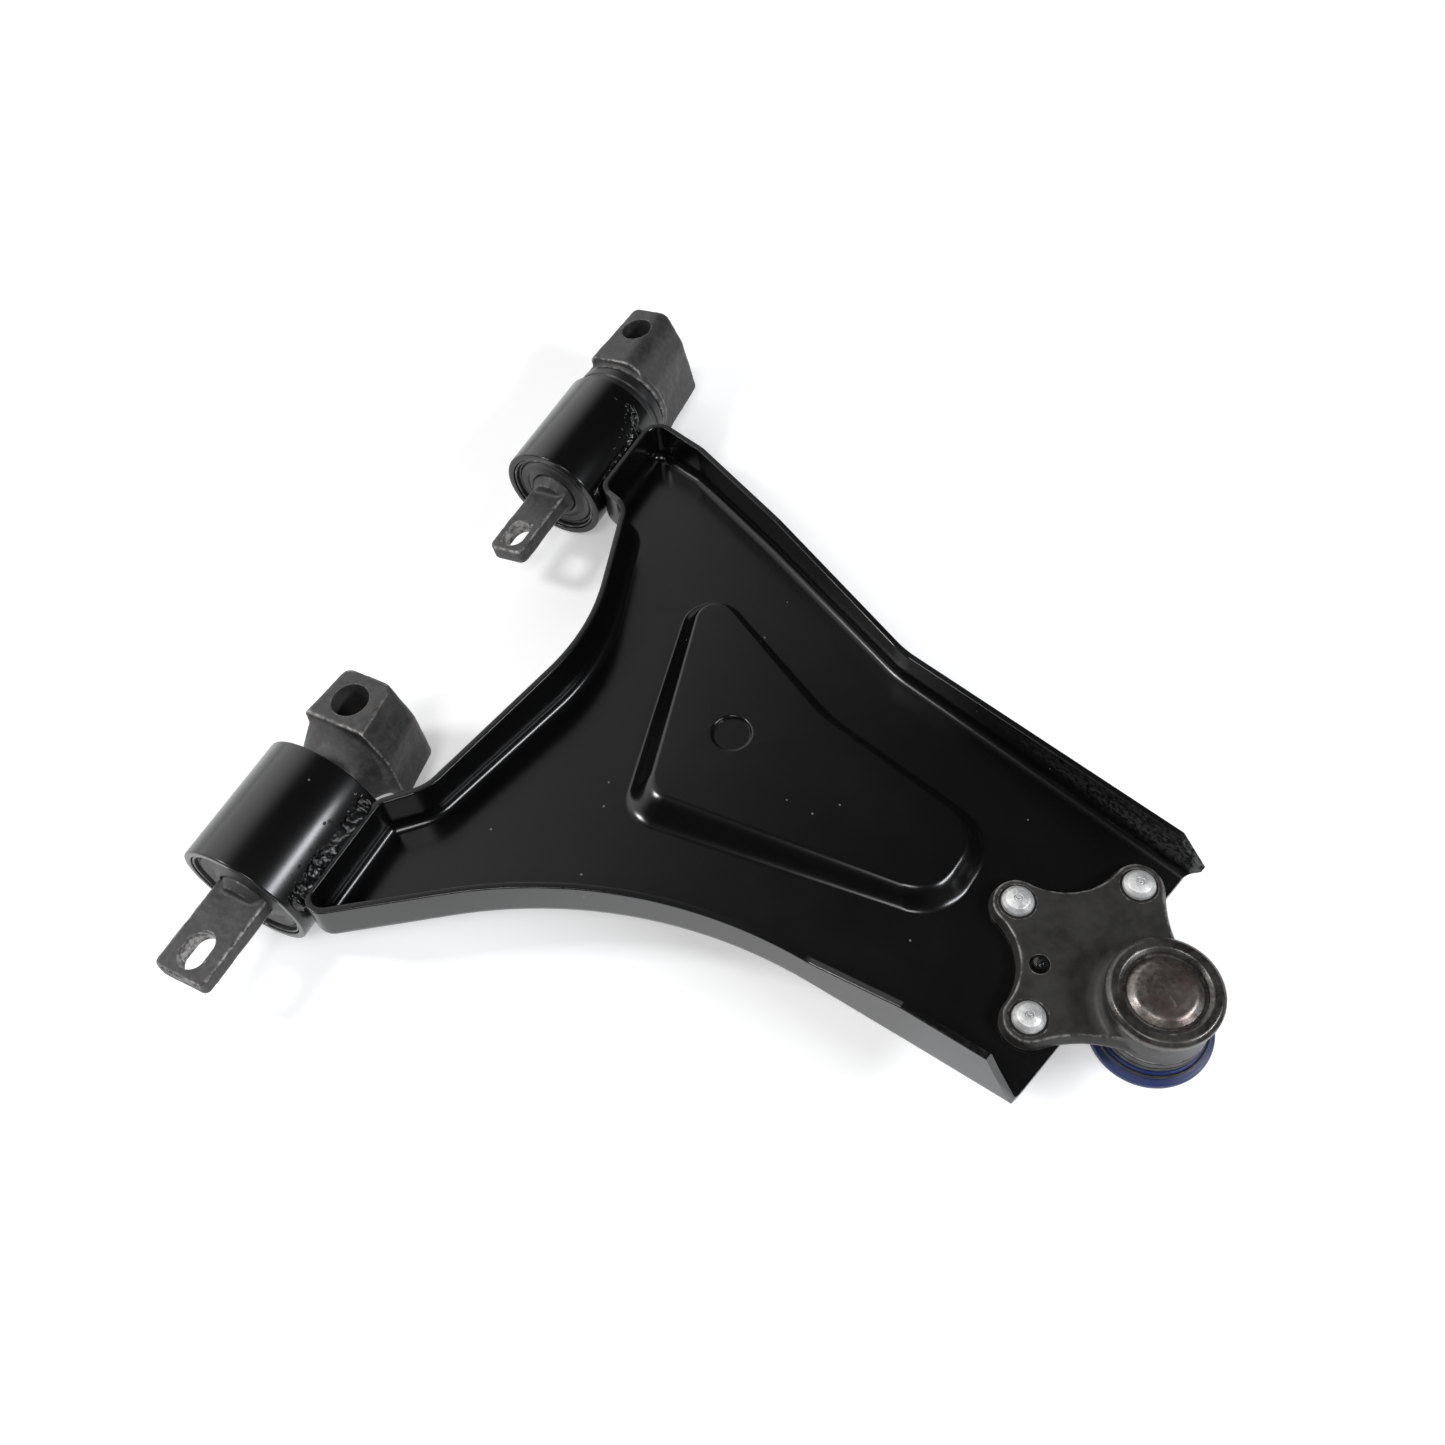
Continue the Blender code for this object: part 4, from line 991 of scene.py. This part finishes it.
# ball joint: forged plate with its cup, rolled edge, cap, rivets, boot and stud

joint = {
    # metres: the plate's levels and outline, and where the pip is
    "plateBottom": -0.0092, "plateTop": -0.0030, "plateFoot": 0.0016, "draft": 0.0018,
    "cup": 0.0240, "lobe": 0.0128, "waist": 0.031, "neckWaist": 0.060, "pip": (-0.0500, -0.0185),
    "degreesEach": 4, "leastSteps": 6,
    "voxel": 0.00065, "rounds": 6, "skin": ((70, 0.00020), (260, 0.00006)), "pipSkin": ((500, 0.0004),),
    # millimetres: turned shapes as (radius, height, rounding)
    "skirt": [(0, 3.5), (24.0, 3.5), (24.6, 0.5, 2), (27.5, -2.2, 3), (33.5, -3.6), (33.5, -6), (0, -6)],
    "cupCore": [(0, 4.4), (24.0, 4.4), (24.0, -12.0), (0, -12.0)],
    "cavity": [(0, 20), (20.6, 20), (20.6, 7.6), (17.1, 7.6), (17.1, -20), (0, -20)],
    "rivetSeat": [(0, 4), (8.7, 4), (8.7, -3.45, 0.2), (0, -3.45)],
    "pipWell": [(0, 4), (5.6, 4), (4.6, -3.6, 0.4), (4.4, -5.4, 0.4), (0, -5.4)],
    "pipShape": [(0, 0.2), (1.6, 0.0, 0.8), (3.1, -1.4, 1.0), (3.4, -5.8), (0, -5.8)],
    "barrel": [(17.2, -8.5), (23.9, -8.5), (23.9, -12.6, 0.3), (23.4, -13.0, 0.3), (23.9, -13.5, 0.3),
               (23.9, -17.2, 0.3), (23.3, -17.7, 0.3), (23.9, -18.3, 0.3), (23.9, -20.8, 0.5),
               (22.9, -22.0, 0.5), (21.2, -22.0, 0.3), (21.2, -26.0, 0.5), (16.9, -26.0, 0.6),
               (13.2, -19.3, 0.5), (13.2, -19.0), (17.2, -19.0)],
    "roll": [(18.1, 9.8, 0.3), (18.1, 10.9, 0.8), (20.0, 12.5, 1.8), (23.4, 12.5, 2.2), (25.5, 10.6, 1.8),
             (25.5, 7.8, 1.6), (24.7, 5.6, 0.9), (23.7, 4.9, 0.3), (23.7, 3.9), (20.7, 3.9), (20.7, 9.8)],
    "cap": [(0, 13.1), (8.6, 13.0, 8.0), (13.2, 12.2, 5.0), (16.3, 10.0, 1.6), (16.9, 9.3, 0.3),
            (20.3, 9.3, 0.2), (20.3, 7.9, 0.2), (0, 7.9)],
}


def waistMiddle(first, firstRadius, second, secondRadius, waist):
    # middle of the hollow arc that touches two lobes from outside
    along = second - first
    gap = along.length
    reach = firstRadius + waist
    foot = (gap ** 2 + reach ** 2 - (secondRadius + waist) ** 2) / (2 * gap)
    off = math.sqrt(reach ** 2 - foot ** 2)
    across = Vector((-along.y, along.x)).normalized()
    return first + along.normalized() * foot - across * off


def plateOutline(inset=0.0):
    # lobes round the ball and the three rivets, joined by hollow arcs
    inner, left, right = [spot.to_2d() for spot in rivetSpots]
    lobe = joint["lobe"] - inset
    lobes = [(Vector((0, 0)), joint["cup"] - inset), (left, lobe), (inner, lobe), (right, lobe)]
    waists = [joint[name] + inset for name in ("neckWaist", "waist", "waist", "neckWaist")]
    count = len(lobes)
    hollows = [waistMiddle(*lobes[i], *lobes[(i + 1) % count], waists[i]) for i in range(count)]
    points = []
    for i, (middle, radius) in enumerate(lobes):
        start, end = hollows[i - 1] - middle, hollows[i] - middle
        sweep = (math.atan2(end.y, end.x) - math.atan2(start.y, start.x)) % (2 * math.pi)
        steps = max(joint["leastSteps"], round(math.degrees(sweep) / joint["degreesEach"]))
        points += arcPoints(middle, radius, math.atan2(start.y, start.x), sweep, steps)
        start = middle - hollows[i]
        end = lobes[(i + 1) % count][0] - hollows[i]
        sweep = start.angle_signed(end)
        steps = max(joint["leastSteps"], round(abs(math.degrees(sweep)) / joint["degreesEach"]))
        points += arcPoints(hollows[i], waists[i], math.atan2(start.y, start.x), -sweep, steps)[1:-1]
    return points


def jointShape(part, steps=96, cornerSteps=4, place=noMove):
    return lathe(softened(joint[part], steps=cornerSteps), steps=steps, place=place)


def plateShape():
    bm = bmesh.new()
    low, high = joint["plateBottom"], joint["plateTop"]
    levels = [(0.0, low), (0.0, low + joint["plateFoot"]), (joint["draft"], high)]
    rows = [[bm.verts.new((p.x, p.y, z)) for p in plateOutline(inset)] for inset, z in levels]
    for lower, upper in zip(rows, rows[1:]):
        skin(bm, lower, upper)
    bm.faces.new(rows[0])
    bm.faces.new(rows[-1])
    bmesh.ops.recalc_face_normals(bm, faces=bm.faces)
    return bm


def skirtShape():
    # the flare between plate and cup, kept inside the plate's outline
    skirt = newObject("skirt", jointShape("skirt"))
    cut(skirt, [prism(plateOutline(joint["draft"]), -cutHalf, cutHalf)], "INTERSECT")
    return takeShape(skirt)


def buildHousing():
    piece = newObject("joint_plate", gather([plateShape(), skirtShape(), jointShape("cupCore")]))
    forge(piece, joint["voxel"], joint["rounds"])
    roughen(piece, joint["skin"])
    cutters = [jointShape("cavity", steps=72)]
    for spot in rivetSpots:
        cutters.append(jointShape("rivetSeat", steps=64, place=Matrix.Translation(spot)))
    pipPlace = Matrix.Translation((*joint["pip"], 0))
    cutters.append(jointShape("pipWell", steps=48, place=pipPlace))
    cut(piece, cutters)
    settle(piece, platePlace, housingSteel, "arm", ["ball_joint_housing"], sharpness=45)
    pip = newObject("locating_pip", jointShape("pipShape", steps=40, cornerSteps=3))
    roughen(pip, joint["pipSkin"])
    settle(pip, platePlace @ pipPlace, weldPaint, "arm", sharpness=50)


def buildCup():
    # the turned pieces round the ball: (name, profile, look, whether it is a ring, corner steps, node)
    for name, part, look, ring, cornerSteps, replaced in (
            ("cup_barrel", "barrel", housingSteel, True, 4, ()),
            ("cup_roll", "roll", rollSteel, True, 6, ()),
            ("joint_cap", "cap", capSteel, False, 6, ("ball_joint_cap",))):
        profile = softened(joint[part], closed=ring, steps=cornerSteps)
        piece = newObject(name, lathe(profile, closed=ring))
        settle(piece, platePlace, look, "arm", replaced, sharpness=45)


rivet = {  # millimetres: the head from its seat, the tail from the underside of the web
    "headSeat": -3.1, "tailGap": 0.3, "turnEach": 50,
    "skinScale": 420, "skinScaleEach": 20, "skinDepth": 0.00012,
    "head": [(0, 5.7), (0.9, 5.6, 0.3), (1.25, 4.6, 0.2), (1.6, 4.3, 0.2), (2.1, 4.95, 0.3),
             (5.4, 3.7, 1.6), (7.2, 1.9, 1.2), (7.6, 0.6, 0.5), (7.4, 0, 0.2), (4.0, 0)],
    "tail": [(4.0, 0), (7.0, 0, 0.2), (6.7, -2.4, 0.8), (4.0, -4.0, 1.0), (0, -4.0)],
}


def lifted(corners, height):
    return [(corner[0], corner[1] + height, *corner[2:]) for corner in corners]


def buildRivets():
    underside = (pressing["webTop"] - pressing["sheet"]) * 1000
    profile = lifted(rivet["head"], rivet["headSeat"]) + lifted(rivet["tail"], underside - rivet["tailGap"])
    for number, spot in enumerate(rivetSpots, 1):
        place = platePlace @ Matrix.Translation(spot) @ turned(rivet["turnEach"] * number, "Z")
        piece = newObject(f"joint_rivet_{number}", lathe(softened(profile, steps=5), steps=72))
        roughen(piece, ((rivet["skinScale"] + rivet["skinScaleEach"] * number, rivet["skinDepth"]),))
        settle(piece, place, zincSteel, "arm", [f"rivet_{number}"], sharpness=50)


boot = {  # millimetres, as (radius, height, rounding): two rings of rubber that meet at the widest fold
    "neck": -22.8, "fold": -29.3, "foot": -44.0,
    "top": [(24.0, -22.3, 0.4), (24.9, -23.0, 0.4), (24.5, -24.0, 0.6), (24.9, -25.0, 0.4),
            (25.6, -26.4, 0.8), (28.0, -27.0, 1.0), (28.5, -28.3, 0.8), (28.5, -29.3), (26.2, -29.3),
            (26.2, -28.5, 0.5), (21.6, -26.8, 0.5), (21.6, -22.3, 0.3)],
    "folds": [(28.5, -29.3), (28.2, -30.6, 0.8), (25.0, -33.4, 2.0), (22.6, -36.5, 1.2), (22.9, -38.2, 0.9),
              (19.5, -40.6, 1.6), (13.6, -42.8, 1.2), (12.0, -44.2, 0.8), (12.0, -45.6, 0.3),
              (11.4, -46.3, 0.4), (12.0, -47.0, 0.3), (11.6, -48.2, 0.3), (9.6, -48.2, 0.2),
              (9.6, -42.6, 0.6), (17.4, -38.6, 1.5), (20.6, -36.4, 1.0), (21.6, -34.0, 1.2),
              (26.2, -30.0, 0.8), (26.2, -29.3)],
    "wireRadius": 0.8, "wireAround": 14,
    "wires": [("boot_top_wire", 25.3, -24.0, "arm", "boot_upper_ring"),
              ("boot_foot_wire", 12.3, -46.3, "boot_ring", "boot_lower_ring")],
}


def buildBoot():
    for part, first, second, start, end, replaced in (
            ("top", "arm", "boot", "neck", "fold", ["dust_boot"]),
            ("folds", "boot", "boot_ring", "fold", "foot", [])):
        profile = softened(boot[part], closed=True, steps=5)
        piece = newObject(f"boot_{part}", lathe(profile, steps=112, closed=True))
        dress(piece, platePlace, blueRubber, replaced, sharpness=50)
        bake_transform(piece)
    for name, radius, height, body, node in boot["wires"]:
        middle = Vector((radius, height)) / 1000
        wire = arcPoints(middle, boot["wireRadius"] / 1000, 0, 2 * math.pi, boot["wireAround"])[:-1]
        piece = newObject(name, lathe(wire, closed=True))
        settle(piece, platePlace, wireSteel, body, [node])


def threadShape(radius, depth, pitch, low, high, around=72, perTurn=8):
    # a helical thread: each ring's points rise and fall with their turn round the axis
    bm = bmesh.new()
    rings = []
    steps = round((high - low) / pitch * perTurn)
    for n in range(steps + 1):
        height = low + (high - low) * n / steps
        fade = min(1.0, 2.0 * min(n, steps - n) / perTurn)
        ring = []
        for k in range(around):
            turn = 2 * math.pi * k / around
            phase = (height / pitch - k / around) % 1.0
            reach = radius - depth * fade * abs(2 * phase - 1)
            ring.append(bm.verts.new((reach * math.cos(turn), reach * math.sin(turn), height)))
        rings.append(ring)
    for first, second in zip(rings, rings[1:]):
        skin(bm, first, second)
    bm.faces.new(rings[0])
    bm.faces.new(rings[-1])
    bmesh.ops.recalc_face_normals(bm, faces=bm.faces)
    return bm


stud = {
    # millimetres: the ball, and the shank as (radius, height, rounding)
    "ballHeight": -6.0, "ballRadius": 13.5, "ballEnd": -11.8, "ballSteps": 24,
    "shank": [(7.0, -20.0), (7.0, -37.0, 2.0), (9.0, -39.6, 1.0), (9.0, -48.0, 0.5), (8.8, -48.6, 0.3),
              (7.6, -60.0, 0.6), (5.4, -60.8, 0.3), (5.4, -62.6, 0.3), (5.4, -72.6, 0.3),
              (4.8, -74.0, 0.3), (1.6, -74.0, 0.4), (0, -72.6)],
    # metres
    "thread": {"radius": 0.0060, "depth": 0.0007, "pitch": 0.00125, "low": -0.0732, "high": -0.0622},
}


def buildStud():
    radius = stud["ballRadius"]
    last = math.asin(stud["ballEnd"] / radius)
    ballMiddleHeight = Vector((0, stud["ballHeight"] / 1000))
    profile = arcPoints(ballMiddleHeight, radius / 1000, math.pi / 2, last - math.pi / 2, stud["ballSteps"])
    profile += softened(stud["shank"])
    piece = newObject("joint_stud", gather([lathe(profile), threadShape(**stud["thread"])]))
    settle(piece, platePlace, groundSteel, "stud", ["ball_stud"], sharpness=50)


buildHousing()
buildCup()
buildRivets()
buildBoot()
buildStud()
print("ball joint built")

hiddenNodes = {"upper_ball_seat": seatPlastic, "lower_ball_seat": seatPlastic, "preload_spring": groundSteel}
for nodeName, look in hiddenNodes.items():
    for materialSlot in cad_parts[nodeName].material_slots:
        materialSlot.material = look
print("hidden nodes given their looks")


# stage, light and camera

paper = {
    "half": 4.0, "height": -0.0331, "slopeX": -0.105, "slopeY": 0.0168,  # the arm rests on it askew
    "dull": (0.86, 0.865, 0.87), "bright": (0.90, 0.90, 0.905), "roughness": 0.85, "glow": 0.34,
}


def buildFloor():
    bm = bmesh.new()
    half = paper["half"]
    corners = []
    for x, y in ((-half, -half), (half, -half), (half, half), (-half, half)):
        height = paper["height"] + paper["slopeX"] * x + paper["slopeY"] * y
        corners.append(bm.verts.new((x, y, height)))
    bm.faces.new(corners)
    bm.transform(armPlace)
    floor = newObject("floor", bm)
    look, tree, shader = startLook("palePaper")
    tone = useGroup(tree, softPatches, Scale=1.6, Low=0.3, High=0.8)
    colour = mixColour(tree, tone.outputs["Mask"], paper["dull"], paper["bright"])
    plug(tree, colour, shader.inputs["Base Color"])
    shader.inputs["Roughness"].default_value = paper["roughness"]
    shader.inputs["Emission Color"].default_value = (1.0, 1.0, 1.0, 1.0)
    shader.inputs["Emission Strength"].default_value = paper["glow"]
    floor.data.materials.append(look)


lamps = {  # direction from the arm, distance, width and height, radiance, colour
    "stripRight": ((0.80, 0.06, 0.58), 1.5, (0.80, 0.24), 27.0, (0.93, 0.96, 1.0)),
    "overShoulder": ((0.12, -0.52, 0.84), 1.6, (0.45, 0.45), 11.0, (1.0, 0.99, 0.98)),
    "spotLeft": ((-0.58, -0.34, 0.74), 1.5, (0.24, 0.24), 46.0, (1.0, 1.0, 1.0)),
}
lampAim = Vector((0.2, 0.03, 0))  # from the arm's origin
glow = {"direction": (-0.93, 0.22, 0.28), "edge": 0.50, "radiance": 1.7,
        "horizon": 0.14, "top": 0.032, "fadeFrom": 0.02, "fadeTo": 0.40}


def buildLamps():
    for name, (direction, distance, size, radiance, colour) in lamps.items():
        light = bpy.data.lights.new(name, "AREA")
        light.shape = "RECTANGLE"
        light.size, light.size_y = size
        light.energy = radiance * size[0] * size[1] * math.pi
        light.color = colour
        lamp = bpy.data.objects.new(name, light)
        bpy.context.scene.collection.objects.link(lamp)
        toward = Vector(direction).normalized()
        lamp.location = armOrigin + lampAim + toward * distance
        lamp.rotation_mode = "QUATERNION"
        lamp.rotation_quaternion = toward.to_track_quat("Z", "Y")


def buildWorld():
    # a dim sky that darkens upwards, with one broad soft glow to the side
    world = bpy.data.worlds.new("studio")
    bpy.context.scene.world = world
    world.use_nodes = True
    tree = world.node_tree
    sky = tree.nodes["Background"]
    place = tree.nodes.new("ShaderNodeTexCoord")
    split = tree.nodes.new("ShaderNodeSeparateXYZ")
    plug(tree, place.outputs["Generated"], split.inputs[0])
    base = remap(tree, split.outputs["Z"], glow["fadeFrom"], glow["fadeTo"], glow["horizon"], glow["top"])
    lean = tree.nodes.new("ShaderNodeVectorMath")
    lean.operation = "DOT_PRODUCT"
    lean.inputs[1].default_value = Vector(glow["direction"]).normalized()
    plug(tree, place.outputs["Generated"], lean.inputs[0])
    side = remap(tree, lean.outputs["Value"], glow["edge"], 1.0, 0.0, glow["radiance"])
    plug(tree, mathNode(tree, "ADD", base, side), sky.inputs["Strength"])
    sky.inputs["Color"].default_value = (1.0, 1.0, 1.0, 1.0)


viewing = {
    "lens": 37.20, "sensor": 36, "place": (0.3813, -0.2936, 0.6166),  # place is from the arm's origin
    "right": (0.8786, 0.4735, -0.0622), "up": (-0.3673, 0.7532, 0.5457),
}


def buildCamera():
    camera = bpy.data.objects.new("camera", bpy.data.cameras.new("camera"))
    bpy.context.scene.collection.objects.link(camera)
    camera.data.lens = viewing["lens"]
    camera.data.sensor_width = viewing["sensor"]
    right, up = Vector(viewing["right"]).normalized(), Vector(viewing["up"]).normalized()
    back = right.cross(up).normalized()
    turn = Matrix((right, back.cross(right), back)).transposed().to_4x4()
    camera.matrix_world = Matrix.Translation(armOrigin + Vector(viewing["place"])) @ turn
    camera.data.clip_start = 0.01
    bpy.context.scene.camera = camera


buildFloor()
buildLamps()
buildWorld()
buildCamera()
bpy.context.scene.view_settings.view_transform = "Standard"
print("stage, lights and camera set")
